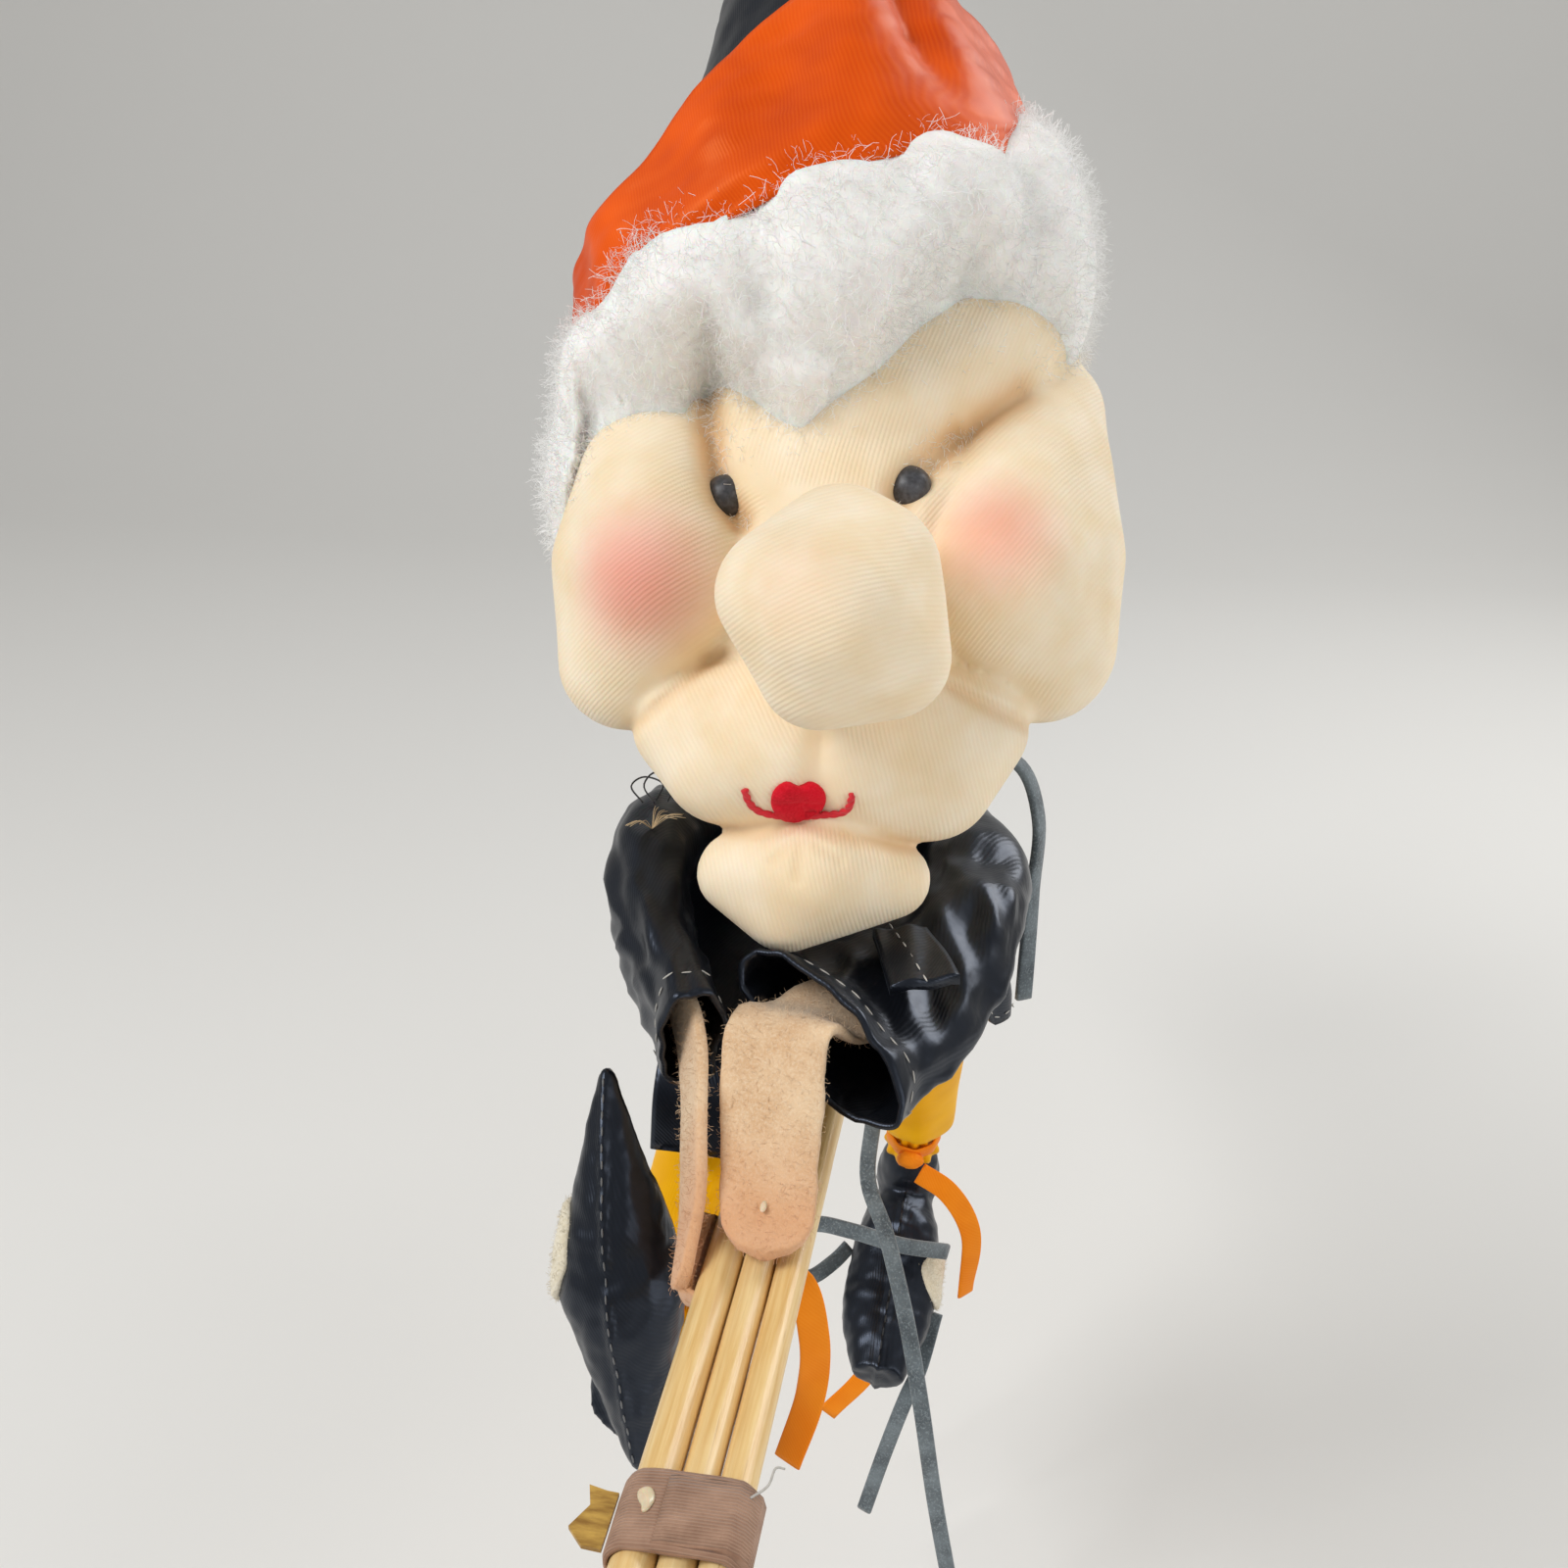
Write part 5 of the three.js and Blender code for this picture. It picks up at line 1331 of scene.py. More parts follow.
# The wads of stuffing that each lobe's skin is drawn round: x, y, z and radius
FACE_LOBES = {
    "right_cheek": [
        (-28.5, -17, 19, 13), (-31.5, -15, 7, 14), (-27, -22, 6, 14.3), (-33.5, -15, -8.5, 10.8),
        (-28, -21, 15, 12.3),
    ],
    "left_cheek": [
        (30, -15, 20, 13), (32, -15, 8.5, 14.8), (26, -22, 5, 14.3), (32.5, -15, -5.2, 13),
        (33, -6, 32, 12.5),
    ],
    "brow": [(-13, -13, 29, 13), (2, -17, 29, 14), (23, -13, 42, 14), (29, -5, 43, 12.5)],
    "nose": [
        (0, -47, 6, 9), (4.5, -50, 2.5, 9.5), (-8.6, -52, -1, 9.2), (6.3, -52, -10, 9.2),
        (-3, -52, -11.6, 9), (-1.5, -57, -4, 11.8), (0, -28, -2, 12),
    ],
    "right_jowl": [(-22.5, -19, -18.5, 9.6), (-16.5, -22, -23.8, 11), (-9, -25, -21, 13.2)],
    "left_jowl": [(21, -19, -19, 10), (14, -22, -25.3, 12), (4, -25, -21, 13.2)],
    "chin": [(-15.3, -22, -42, 6.4), (8.8, -22, -43, 6.2), (-7.5, -24, -46.4, 7.8), (-4, -27, -41, 9.2)],
}
# The way the knit's ribs run on each lobe in front view, in degrees up from the doll's left
RIB_TURNS = {
    "right_cheek": 24, "left_cheek": 58, "brow": 84, "nose": 18, "right_jowl": 112, "left_jowl": 92,
    "chin": 84,
}
# Lines where hidden stitches draw the skin in: places in front view (x, z), depth and half width in mm; the
# depth also sets the painted shade in them
CREASES = [
    ([(-20.8, 40), (-19.9, 33.3), (-19.6, 27.2), (-19.2, 21.1), (-17.6, 15.9), (-15, 12.5)], 4.2, 2.1),
    ([(9.5, 16), (14.5, 22), (19, 26.5)], 3.6, 2.6),
    ([(14.5, 22), (22.4, 28.6), (29, 33.5)], 2.6, 2.8),
    ([(-17.8, -7.6), (-23.1, -12.4), (-33.2, -19.9)], 1.6, 1.3),
    ([(17.2, -12.8), (22.1, -15.4), (30.1, -18.9)], 1.6, 1.3),
    ([(-31.4, -25), (-27, -30.8), (-21.2, -34.8), (-13.9, -35.2), (-5.5, -33.8)], 1.8, 1.3),
    ([(-5.5, -33.8), (3.7, -36.3), (10.6, -37.4), (17, -38)], 1.8, 1.3),
    ([(-3, -21.4), (-4.4, -26.5), (-5.6, -33)], 0.9, 1.7),
    ([(-6, -35.5), (-10, -39.5)], 0.6, 0.8),
    ([(-5.6, -35.5), (-6, -42)], 0.7, 0.9),
    ([(-5, -35.5), (0.5, -39.5)], 0.6, 0.8),
]
# The skin is drawn in on what lies more than this far in front of the head's middle
CREASE_START = (39, 45)


def skin_round(wads):
    """The convex skin round a few balls."""
    shape = bmesh.new()
    for x, y, z, radius in wads:
        for corner in ball((x, y, z), (radius,) * 3, 56, 36)[0]:
            shape.verts.new(corner)
    bmesh.ops.convex_hull(shape, input=shape.verts)
    inner = [vertex for vertex in shape.verts if not vertex.link_faces]
    bmesh.ops.delete(shape, geom=inner, context="VERTS")
    shape.verts.index_update()
    corners = [vertex.co.copy() for vertex in shape.verts]
    faces = [tuple(vertex.index for vertex in face.verts) for face in shape.faces]
    shape.free()
    return corners, faces


def from_line(x, z, line):
    """How far a place in front view is from a line of places."""
    nearest = 99
    for (x1, z1), (x2, z2) in zip(line, line[1:]):
        dx, dz = x2 - x1, z2 - z1
        share = min(max(((x - x1) * dx + (z - z1) * dz) / (dx * dx + dz * dz), 0), 1)
        nearest = min(nearest, math.hypot(x - x1 - share * dx, z - z1 - share * dz))
    return nearest


def drawn_in(p, creases):
    """How deep the stitches pull a place of the skin."""
    front = 1 - smoothstep(-p.y, *CREASE_START)
    if p.y > 2 or front == 0:
        return 0
    depth = 0
    for line, deep, half_width in creases:
        away = from_line(p.x, p.z, line) / half_width
        if away < 3:
            depth = max(depth, deep * math.exp(-away * away))
    return depth * front


def lobe_of(p):
    """The lobe that a place of the skin belongs to, and how far in mm it is inside that lobe's part."""
    gaps = []
    for lobe, wads in FACE_LOBES.items():
        gaps.append((min(math.dist(p, wad[:3]) - wad[3] for wad in wads), lobe))
    gaps.sort()
    return gaps[0][1], gaps[1][0] - gaps[0][0]


def head():
    """The stuffed head; its knit, its creases with their painted shade, and its blush are drawn from three
    values kept on the skin.
    """
    shapes = [ball(*SKULL)] + [skin_round(wads) for wads in FACE_LOBES.values()]
    obj = fused(shapes, "head_nylon", HEAD, voxel=0.78, smoothing=4)
    back = HEAD.inverted()
    mesh = obj.data
    rib_place, rib_depth, crease = (
        mesh.attributes.new(name, "FLOAT", "POINT") for name in ("rib_place", "rib_depth", "crease")
    )
    for vertex in mesh.vertices:
        p = back @ vertex.co
        lobe, inside = lobe_of(p)
        turn = math.radians(RIB_TURNS[lobe])
        along = p.x * math.cos(turn) + p.z * math.sin(turn)
        across = p.z * math.cos(turn) - p.x * math.sin(turn)
        rib_place.data[vertex.index].value = across + along * along / 260 + 0.5 * ripple(p, 14, 5)
        rib_depth.data[vertex.index].value = smoothstep(inside, 1.2, 3.5)
        depth = drawn_in(p, CREASES)
        # The crease depth is also kept for the painted shade in the creases
        crease.data[vertex.index].value = depth
        sway = Vector((ripple(p, 11, 1), ripple(p, 9, 2), ripple(p, 12, 3)))
        vertex.co = HEAD @ (p + Vector((0, depth, 0)) + 0.3 * sway)
    mesh.update()
    paint(obj, NYLON)
    ride(obj, "head", "nylon_skin", "head")
    return obj


def on_face(find, x, z, lift=0.0):
    """A place on the face in front of the given x and z."""
    hit, normal = find((x, -120, z), (0, 1, 0))
    return hit + normal * lift


# Place of each eye in front view
EYES = {"right": (-17.1, 17), "left": (11.5, 18)}
EYE_RADIUS = 3.4


def eyes(find):
    for side, (x, z) in EYES.items():
        seat = on_face(find, x, z)
        bead = ball((x, seat.y + 0.1, z), (EYE_RADIUS,) * 3, 40, 28)
        piece(f"{side}_eye_bead", bead, HEAD, BEAD, "head", "dark_bead", f"{side}_eye")


# The middle of the lips in front view, and their size
MOUTH = (-5.8, -30.2)
LIP_WIDTH = 8.3
LIP_HEIGHT = 6.4
# How much of the lips' outline each ring takes, and how far it stands off the face
LIP_RINGS = ((1.0, -0.4), (1.0, 0.5), (0.93, 1.0), (0.7, 1.25), (0.35, 1.2), (0.08, 1.05))
# The thread between the lips, measured from their middle
MOUTH_LINE = [
    (-8.0, 1.6), (-7.4, -0.2), (-6.2, -1.4), (-4, -2.1), (0, -2.6), (4, -2.4), (6.4, -1.9), (7.6, -1.0),
    (8.0, 0.8),
]


def lip_edge(angle):
    """The outline of the lips, with its bow at the top."""
    c, s = math.cos(angle), math.sin(angle)
    height = LIP_HEIGHT / 2 * (1 if s < 0 else 0.92 - 0.28 * math.exp(-(c / 0.22) ** 2))
    return LIP_WIDTH / 2 * squared(c, 0.85), height * s


def felt_lips(find):
    x0, z0 = MOUTH
    rings = []
    for share, lift in LIP_RINGS:
        ring = []
        for angle in turns(48):
            dx, dz = lip_edge(angle)
            groove = 0.35 * math.exp(-((dz * share + 0.2) / 0.45) ** 2) if share < 0.95 else 0
            ring.append(on_face(find, x0 + dx * share, z0 + dz * share, lift - groove))
        rings.append(ring)
    piece("lips_felt", loft(rings), HEAD, RED_FELT, "head", "red_felt", "lips")
    line = curve_through([on_face(find, x0 + x, z0 + z, 0.35) for x, z in MOUTH_LINE], 90)
    plies = []
    for ply in range(2):
        twisted = []
        for i, p in enumerate(line):
            angle = i * 0.55 + math.pi * ply
            twisted.append(p + Vector((0.2 * math.cos(angle), 0, 0.2 * math.sin(angle))))
        plies.append(rod(twisted, [0.42] * len(twisted), 8))
    piece("mouth_line_thread", together(plies), HEAD, RED_THREAD, "head", "red_felt")


# Hair

# Middle and radii of each curl of batting
HAIR_PUFFS = [
    ((0, 8, 14), (42, 36, 49)), ((28, -7, 57), (15.5, 22.5, 25.5)), ((-33, -2, 23), (15, 23.5, 23.5)),
    ((1, -18, 52.6), (32, 26, 22)), ((-18, -18, 47), (18.5, 22, 17.5)), ((-33, -12, 37), (12, 17, 14)),
    ((-5.5, -22, 36), (13, 14, 17)), ((15, -24, 60), (15, 17, 13.5)), ((-25, -17, 41), (15, 17, 13)),
]
# Dents between the curls: places in front view, depth and half width in mm
HAIR_VALLEYS = [([(-11.7, 66), (-11.5, 44)], 2.6, 3.2), ([(22, 72), (18, 50)], 1.4, 4.0)]
# The edge of the hair over the face in front view
HAIRLINE = [
    (-70, 8), (-43, 24), (-38, 29.5), (-30, 32), (-23, 32.5), (-19, 34.5), (-14, 32), (-9, 28), (-5.8, 25.5),
    (-1, 28), (5, 32), (13, 42.4), (20, 46.5), (27, 45.5), (34, 40), (70, 30),
]
# Height of the hair's lower edge
NAPE = -13
# How near a neighbouring piece has to lie to the batting to catch its fibres
CATCH_REACH = 1.1
# Each quarter of the hair, its directions in degrees round the head, and its fibres on a square metre
HAIR_QUARTERS = [
    ("right_front", -180, -90, 2.4e6), ("left_front", -90, 0, 2.4e6), ("left_back", 0, 90, 0.9e6),
    ("right_back", 90, 180, 0.9e6),
]


def below_hairline(x, z):
    """How far in mm a place lies under the hairline, in front view."""
    for (x1, z1), (x2, z2) in zip(HAIRLINE, HAIRLINE[1:]):
        if x1 <= x <= x2:
            return z1 + (z2 - z1) * (x - x1) / (x2 - x1) - z
    return -99


def skin_behind(find, x, z):
    """How far forward the face's skin is at a place in front view, or at the nearest place inwards."""
    for _ in range(12):
        hit = find((x, -120, z), (0, 1, 0))[0]
        if hit:
            return hit.y
        x, z = 0.94 * x, 15 + 0.94 * (z - 15)
    return 0


def hair(find):
    """Batting glued round the face: a soft mass that thins out over the brow, and loose fibres over it."""
    puffs = [ball(centre, radii) for centre, radii in HAIR_PUFFS]
    obj = fused(puffs, "hair_batting", HEAD, voxel=1.2, smoothing=6)

    def shaped(p):
        under = below_hairline(p.x, p.z)
        if p.y < 2 and under > -13:
            start = -7 - 6 * smoothstep(abs(p.x + 5.5), 8, 16)
            behind = skin_behind(find, p.x, min(p.z, p.z + under - 3)) + 2
            p = Vector((p.x, p.y + max(0, behind - p.y) * smoothstep(under, start, 1.8), p.z))
        fluff = 0.55 * ripple(p, 9, 1) + 0.3 * ripple(p, 2.6, 2)
        out = Vector((p.x, p.y * 0.8, p.z - 15)).normalized()
        return p + out * fluff + Vector((0, drawn_in(p, HAIR_VALLEYS), 0))

    reshape(obj, HEAD, shaped)
    paint(obj, BATTING)
    modify(obj, "SMOOTH", factor=0.5, iterations=2)
    settle(obj)
    rework(obj, trim_nape)
    obj.data.polygons.foreach_set("use_smooth", [True] * len(obj.data.polygons))
    ride(obj, "head", "batting", "hair")
    for part, low, high, density in HAIR_QUARTERS:
        quarter = without(obj, f"hair_fibres_{part}", lambda middle: covered(middle, low, high))
        grow(quarter, FIBRES, FIBRE, Density=density, Length=2.3 * MM, Radius=0.032 * MM, Spread=1.4)
        ride(quarter, "head", "batting")
    return obj


def covered(middle, low, high):
    """Whether a place of the hair lies under the hat or outside a quarter."""
    p = HAT.inverted() @ middle
    radius, lean = cone_at(p.z)
    q = HEAD.inverted() @ middle
    turn = math.degrees(math.atan2(q.y, q.x))
    return (p.z > -1 and math.hypot(p.x - lean, p.y) < radius + 3) or not low <= turn < high


def trim_nape(shape):
    """Leave out what would lie under the hair's lower edge."""
    back = HEAD.inverted()
    low = [vertex for vertex in shape.verts if (back @ vertex.co).z < NAPE]
    bmesh.ops.delete(shape, geom=low, context="VERTS")
    bmesh.ops.holes_fill(shape, edges=[edge for edge in shape.edges if edge.is_boundary])


def caught_fibres(name, source, batting):
    """Fibres of the batting that lie over a neighbouring piece, along the batting's edge."""
    tree = skin_tree(batting, Matrix.Identity(4))
    back = HEAD.inverted()

    def far(middle):
        p = back @ middle
        bare = p.y < -12 and below_hairline(p.x, p.z) > 2.5
        return bare or tree.find_nearest(middle, CATCH_REACH * MM)[0] is None

    obj = without(source, name, far)
    grow(obj, FIBRES, FIBRE, Density=1.5e6, Length=2.4 * MM, Radius=0.028 * MM, Spread=1.9)
    ride(obj, "head", "batting")


# Hat

# Height, radius and sideways lean of the cone
CONE = [(-12, 40, 0), (0, 41, 0), (22, 34.5, 4), (46, 25, 12), (72, 15, 23), (94, 6.5, 34), (106, 1.6, 41)]
CONE_BOTTOM = -6
CONE_HEIGHT = 112
HAT_CLOTH = 0.7
# The turned-up brim's heights, with the highest place so many degrees from the front to the doll's left
BRIM_LOW = 15
BRIM_HIGH = 38
BRIM_PEAK_TURN = 28
# How far the brim's layers stand off the cone, and how far up the brim each one reaches
BRIM_OUTSIDE = (1.3, 1.03)
BRIM_LINING = (2.9, 1.0)
# Folds of the turned-up brim: direction in degrees, width in degrees, depth in mm, and slant up the brim
BRIM_FOLDS = [
    (268, 10, 2.0, 8), (250, 8, -1.2, -10), (287, 8, -1.1, 4), (304, 5, 2.1, -5), (317, 9, -1.2, 2),
    (238, 9, 0.9, -10), (222, 8, -1.0, -8), (206, 7, 1.2, 0),
]


def cone_at(z):
    """The cone's radius and lean at a height."""
    for (z1, r1, l1), (z2, r2, l2) in zip(CONE, CONE[1:]):
        if z <= z2 or z2 == CONE[-1][0]:
            share = (z - z1) / (z2 - z1)
            return r1 + (r2 - r1) * share, l1 + (l2 - l1) * share
    return 0, 0


def brim_folds(t, angle):
    depth = 0
    degrees = math.degrees(angle) % 360
    for middle, width, amount, slant in BRIM_FOLDS:
        away = (degrees - middle - slant * (t - 0.5)) / width
        depth -= amount * math.exp(-away * away) * smoothstep(t, 0.1, 0.6)
    return max(depth, -2.2)


def brim_point(t, angle, stand_off):
    """A place on the turned-up brim: t runs from 0 at the crease to 1 at the edge."""
    front = max(0, math.cos(angle + math.pi / 2 - math.radians(BRIM_PEAK_TURN))) ** 2
    z = t * (BRIM_LOW + (BRIM_HIGH - BRIM_LOW) * front)
    radius, lean = cone_at(z)
    wave = t * (2 + 1.2 * math.cos(5 * angle + 0.6)) + brim_folds(t, angle)
    crease = 0.4 * ripple((40 * math.cos(angle), 40 * math.sin(angle), 3 * z), 7)
    tucked = 2.2 * (1 - smoothstep(t, 0, 0.2))
    r = radius + stand_off + wave - tucked + crease * min(1, 3 * t)
    return Vector((lean + r * math.cos(angle), r * math.sin(angle), z))


def cone_ring(z):
    radius, lean = cone_at(z)
    ring = []
    for angle in turns(120):
        p = Vector((radius * math.cos(angle), radius * math.sin(angle), z))
        slump = 0.8 * ripple(p, 14, 2) * min(1, radius / 8)
        slump += 0.4 * ripple((p.x, p.y, z * 2), 6, 4) * min(1, radius / 8)
        drawn_back = 5 * smoothstep(z, 6, 36) * min(1, radius / 25)
        r = radius - 0.3 - drawn_back + slump * (0.4 if z < 30 else 1)
        ring.append((lean + drawn_back + r * math.cos(angle), r * math.sin(angle), z))
    return ring


def hat():
    rows = 70
    rings = [cone_ring(CONE_BOTTOM + CONE_HEIGHT * k / rows) for k in range(rows + 1)]
    cone = build("hat_cone_satin", loft(rings, False, True), HAT, BLACK)
    thicken(cone, HAT_CLOTH)
    ride(cone, "head", "black_satin", "hat_cone")


def brim_layer(name, stand_off, reach, material, slot, node):
    """One of the brim's two layers of satin, from the crease to its edge."""
    rows = 24
    rings = []
    for i in range(rows + 1):
        rings.append([brim_point(reach * i / rows, angle, stand_off) for angle in turns(240)])
    layer = build(name, loft(rings, False, False), HAT, material)
    thicken(layer, HAT_CLOTH)
    ride(layer, "head", slot, node)
    return layer


# Legs

THIGH_RADIUS = 9
TROUSER_END = -84.2
ANKLE_RADIUS = 4.7
# Depths of the trouser's cuts under the hip
TROUSER_ROWS = [8.7, 8, 6.5, 4, 2]
TROUSER_ROWS += [-k * 1.2 for k in range(55)]
TROUSER_ROWS += [-66.5 - k * 0.8 for k in range(22)] + [-84]
RIBBON_DEPTH = TROUSER_END + RIBBON_WIDTH / 2 + 3
RIBBON_RADIUS = 5.75


def trouser_radius(z, angle, seed):
    """The stuffed leg's radius at a depth z below the hip: full, then gathered over the ankle."""
    if z > 0:
        return math.sqrt(max(0.04, THIGH_RADIUS ** 2 - z * z))
    full = THIGH_RADIUS - 0.25 + 0.3 * ripple((9 * math.cos(angle), 9 * math.sin(angle), z * 0.4), 7, seed)
    drawn = smoothstep(z, TROUSER_END + 9.5, TROUSER_END + 18)
    flounce = 1.5 * smoothstep(-z, -TROUSER_END - 4, -TROUSER_END - 0.5)
    gathers = (1 - drawn) * 0.45 * math.cos(11 * angle + seed)
    gathers += drawn * 0.2 * math.cos(7 * angle + seed) * smoothstep(-z, 40, 70)
    return full * drawn + (ANKLE_RADIUS + flounce) * (1 - drawn) + gathers


def trouser(side, seed):
    rings = []
    for z in TROUSER_ROWS:
        ring = []
        for angle in turns(72):
            r = trouser_radius(z, angle, seed)
            ring.append((r * math.cos(angle), r * math.sin(angle), z))
        rings.append(ring)
    obj = build(f"{side}_trouser_leg_satin", loft(rings), leg_frame(side), YELLOW)
    ride(obj, f"{side}_leg", "yellow_satin", f"{side}_trouser_leg")


def ankle_ribbon(side):
    """A satin ribbon round the ankle, with a flat knot in front."""
    place = leg_frame(side)
    rings = []
    for across in turns(12):
        ring = []
        for angle in turns(72):
            r = RIBBON_RADIUS + 0.5 * math.cos(across) + 0.12 * math.cos(9 * angle)
            z = RIBBON_DEPTH + 2.2 * squared(math.sin(across), 0.6)
            ring.append((r * math.cos(angle), r * math.sin(angle), z))
        rings.append(ring)
    band = loft(rings + [rings[0]], False, False)
    body = f"{side}_leg"
    name = f"{side}_ankle_ribbon"
    piece(f"{name}_satin", band, place, RIBBON, body, "orange_ribbon", name)
    knot = build(f"{side}_ankle_knot", ball((0, -7.3, RIBBON_DEPTH), (3.1, 1.9, 2.5), 28, 18), place, RIBBON)
    reshape(knot, place, lambda p: p + Vector((0.35 * ripple(p, 1.6, 1), 0.3 * ripple(p, 1.3, 2), 0)))
    ride(knot, body, "orange_ribbon")


# Boots

BOOT_HALF_WIDTH = 10.5
# How much wider and higher each boot's toe is than the cuts below say
BOOT_TOE = {"left": (5, 3.6), "right": (0.3, 0.2)}
# Place along the foot, half width as a share of the widest, and half height
BOOT_SECTIONS = [
    ((0, 10.5, -12), 0.2, 2.5), ((0, 9, -12.4), 0.55, 6), ((0, 4, -12.8), 0.84, 8.6),
    ((0, -5, -12.8), 0.97, 9), ((0, -17, -13.6), 1, 8.6), ((0, -29, -14.8), 0.86, 7.6),
    ((0, -39.5, -15.4), 0.6, 5.8),
    ((0, -46.5, -15), 0.32, 3.4), ((0, -50, -14.4), 0.1, 1.1),
]
# Height and radius of the shaft
BOOT_SHAFT = [(-12, 8), (-6, 7.6), (-1, 6.5), (2.2, 5.0), (4.3, 3.2), (5.3, 1.0)]
# The patch on the boot's side: middle, half length and half height, and the share and lift of its rings
PATCH_MIDDLE = (-23, -14)
PATCH_SIZE = (7.8, 5.3)
PATCH_RINGS = ((1.0, -0.2), (1.0, 0.8), (0.94, 1.2), (0.6, 1.25), (0.25, 1.2), (0.04, 1.2))
PATCH_FUZZ = (2.5, 0.6, 0.03, 1.0)
# Spacing, length and radius of the stitches
SOLE_STITCHES = (2.4, 1.4, 0.16)
INSTEP_STITCHES = (2.9, 1.9, 0.18)


def along_curve(points, t):
    """The place at share t of the smooth line through some points."""
    parts = 64
    return curve_through(points, parts)[min(int(t * parts + 0.5), parts)]


def boot_shape(side):
    """The foot and the shaft of a boot, before they are grown together."""
    rows, around = 48, 40
    centres = [Vector(section[0]) for section in BOOT_SECTIONS]
    widths = [(i, section[1] * BOOT_HALF_WIDTH, 0) for i, section in enumerate(BOOT_SECTIONS)]
    heights = [(i, section[2], 0) for i, section in enumerate(BOOT_SECTIONS)]
    more_width, more_height = BOOT_TOE[side]
    rings = []
    for i in range(rows + 1):
        t = i / rows
        middle = along_curve(centres, t)
        wide = along_curve(widths, t).y + more_width * smoothstep(t, 0.45, 0.8)
        tall = along_curve(heights, t).y + more_height * smoothstep(t, 0.55, 0.9)
        ring = []
        for angle in turns(around):
            ring.append((middle.x + wide * math.cos(angle), middle.y, middle.z + tall * math.sin(angle)))
        rings.append(ring)
    return [loft(rings), loft([circle(radius, z, around) for z, radius in BOOT_SHAFT])]


def boot(side, seed):
    place = boot_frame(side)
    obj = fused(boot_shape(side), f"{side}_boot_satin", place, voxel=0.6, smoothing=5)

    def stuffed(p):
        out = Vector((p.x, 0.15 * p.y, p.z + 13)).normalized()
        crease = 0.45 * ripple((p.x * 0.7, p.y, p.z * 0.7), 5, seed) + 0.25 * ripple(p, 2.6, seed + 1)
        seam = 0.75 * math.exp(-(p.x / 0.75) ** 2) * smoothstep(abs(p.y + 20), 0, 4)
        if p.z > -2:
            seam = 0
        return p + out * (crease + seam - 0.35)

    reshape(obj, place, stuffed)
    paint(obj, BLACK)
    ride(obj, f"{side}_foot", "black_satin", f"{side}_boot")
    find = surface_finder(obj, place)
    boot_stitches(side, place, find)
    patch(side, place, find)


def seam_line(find, start, reach, count, height, lift):
    """Places along the boot's middle, found from above or below and lifted off its skin."""
    line = []
    for k in range(count):
        y = start - reach * k / (count - 1)
        hit, normal = find((0.0, y, height), (0, 0, -height))
        if hit:
            line.append(hit + normal * lift)
    return line


def boot_stitches(side, place, find):
    """Overcast stitches along the seam that runs down the middle of the sole and the instep."""
    foot = f"{side}_foot"
    sole = seam_line(find, start=8.5, reach=57, count=60, height=-60, lift=0.15)
    name = f"{side}_boot_sole_stitches"
    stitch_row(name, sole, place, foot, GREY_THREAD, "suede", *SOLE_STITCHES)
    instep = seam_line(find, start=-12, reach=36, count=50, height=30, lift=0.1)
    name = f"{side}_boot_instep_stitches"
    stitch_row(name, instep, place, foot, BLACK_THREAD, "black_satin", *INSTEP_STITCHES)


def patch(side, place, find):
    """An oval of cream felt on the outer side of the boot."""
    outward = Vector((1 if side == "left" else -1, 0, 0))
    rings = []
    for share, lift in PATCH_RINGS:
        ring = []
        for angle in turns(48):
            y = PATCH_MIDDLE[0] + PATCH_SIZE[0] * share * math.cos(angle)
            z = PATCH_MIDDLE[1] + PATCH_SIZE[1] * share * math.sin(angle)
            hit = find((40 * outward.x, y, z), -outward)[0]
            if hit is None:
                hit = Vector((6 * outward.x, y, z))
            ring.append(hit + outward * lift)
        rings.append(ring)
    body = f"{side}_foot"
    name = f"{side}_boot_patch"
    obj = piece(f"{name}_felt", loft(rings), place, CREAM_FELT, body, "cream_felt", name)
    fuzz(f"{name}_fuzz", obj, body, CREAM_FELT, "cream_felt", *PATCH_FUZZ)


# Studio, in metres

FLOOR_GAP = 0.03
FLOOR_HALF_WIDTH = 2.6
FLOOR_START = -1.6
FLOOR_END = 0.9
FLOOR_CURVE = 0.6
FLOOR_RISE = 2.6
# Place, power in watts and size of each lamp, and the place that the lamps point at
LAMPS = {
    "key": ((-0.75, -0.6, 0.85), 10.6, 0.6),
    "fill": ((0.9, -0.6, 0.2), 3.6, 0.8),
    "rim": ((0.6, 0.6, 0.5), 4, 0.5),
}
LAMP_AIM = Vector((0, -0.04, 0.02))
WORLD_STRENGTH = 0.42


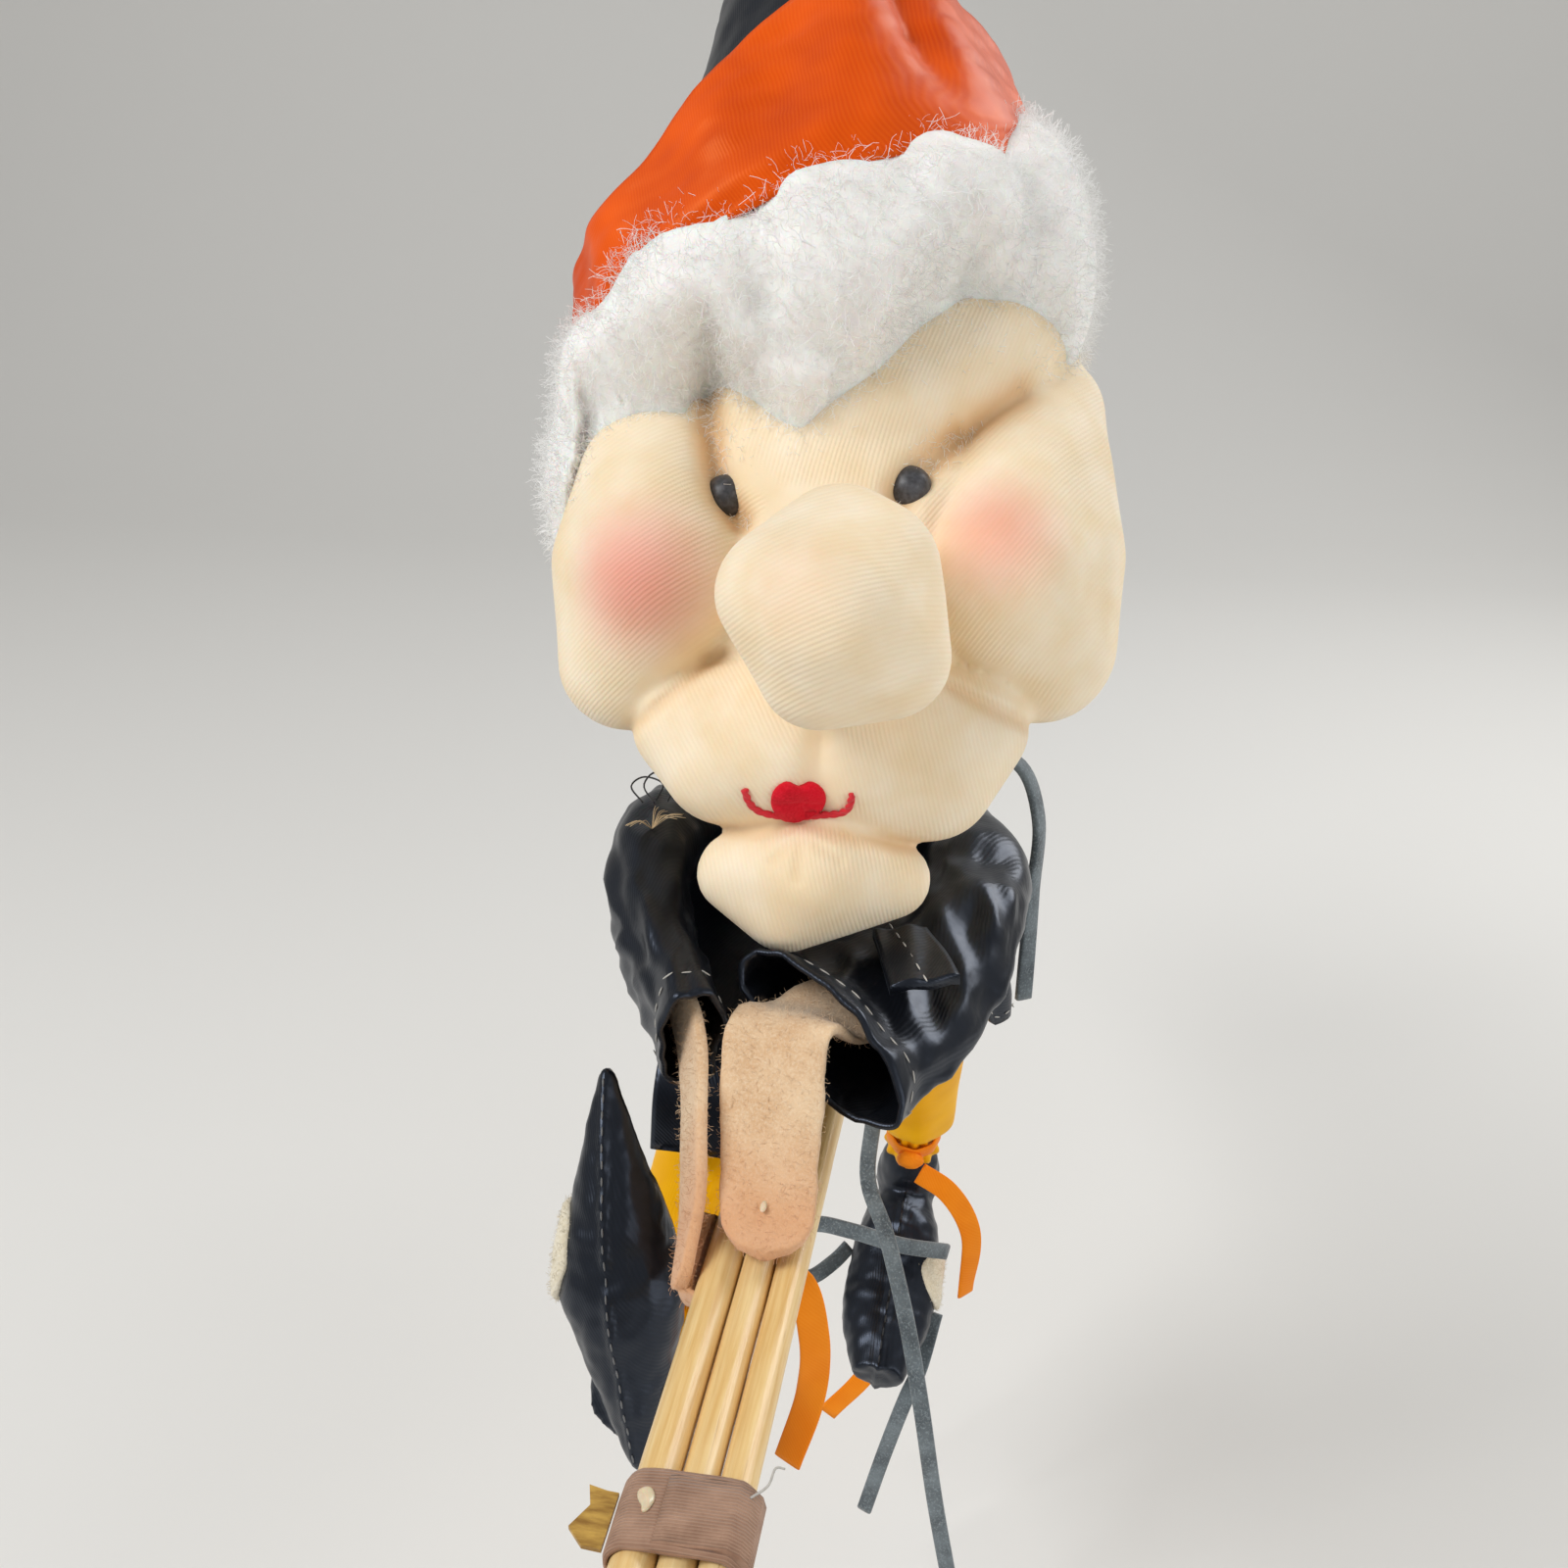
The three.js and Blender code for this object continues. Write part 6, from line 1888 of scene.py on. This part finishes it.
def studio():
    """A pale floor that curves up behind the doll, a soft key, a fill and a rim light."""
    floor = start_material("pale paper floor")[0]
    finished(floor, {"Base Color": "#E4E3E0", "Roughness": 0.9})
    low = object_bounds()[0][2] - FLOOR_GAP
    profile = [(FLOOR_START, low), (FLOOR_END, low)]
    for step in range(1, 13):
        angle = step * math.pi / 24
        rise = FLOOR_CURVE * (1 - math.cos(angle))
        profile.append((FLOOR_END + FLOOR_CURVE * math.sin(angle), low + rise))
    profile.append((FLOOR_END + FLOOR_CURVE, low + FLOOR_RISE))
    corners = [(x, y, z) for y, z in profile for x in (-FLOOR_HALF_WIDTH, FLOOR_HALF_WIDTH)]
    faces = [(2 * i, 2 * i + 1, 2 * i + 3, 2 * i + 2) for i in range(len(profile) - 1)]
    build("studio_floor", (corners, faces), Matrix.Identity(4), floor)
    for name, (place, power, size) in LAMPS.items():
        lamp = bpy.data.lights.new(name, "AREA")
        lamp.energy = power
        lamp.size = size
        obj = link(name, lamp)
        obj.location = place
        obj.rotation_euler = (LAMP_AIM - Vector(place)).to_track_quat("-Z", "Y").to_euler()
    world = bpy.data.worlds.new("studio world")
    world.use_nodes = True
    background = world.node_tree.nodes["Background"]
    background.inputs["Color"].default_value = linear("#F2F1EF")
    background.inputs["Strength"].default_value = WORLD_STRENGTH
    bpy.context.scene.world = world
    bpy.context.scene.view_settings.view_transform = "Standard"


make_camera()
ribbon_tails()
laces()
broom_sticks()
binding()
tab_and_glue()
straw_brush()
softened_copy("torso", "torso_muslin", MUSLIN, "body", "muslin")
softened_copy("neck", "neck_nylon", NYLON, "neck", "nylon_skin")
dress()
bodice_front()
collar_threads()
sleeve("left", LEFT_SLEEVE, seed=2)
sleeve("right", RIGHT_SLEEVE, seed=5)
felt_arm("left_arm_felt", LEFT_ARM, "left_arm", seed=1)
felt_arm("right_arm_felt", RIGHT_ARM, "right_arm", seed=4)
palm()
glue_drop()
neckline_facing()
skin = head()
face = surface_finder(skin, HEAD)
eyes(face)
felt_lips(face)
batting = hair(face)
hat()
brim_layer("hat_brim_satin", *BRIM_OUTSIDE, BLACK, "black_satin", "hat_brim")
lining = brim_layer("hat_brim_lining_satin", *BRIM_LINING, ORANGE, "orange_satin", "hat_brim_lining")
caught_fibres("brow_caught_fibres", skin, batting)
caught_fibres("brim_caught_fibres", lining, batting)
for leg_side, leg_seed, boot_seed in (("left", 3, 2), ("right", 8, 6)):
    trouser(leg_side, leg_seed)
    ankle_ribbon(leg_side)
    boot(leg_side, boot_seed)
studio()
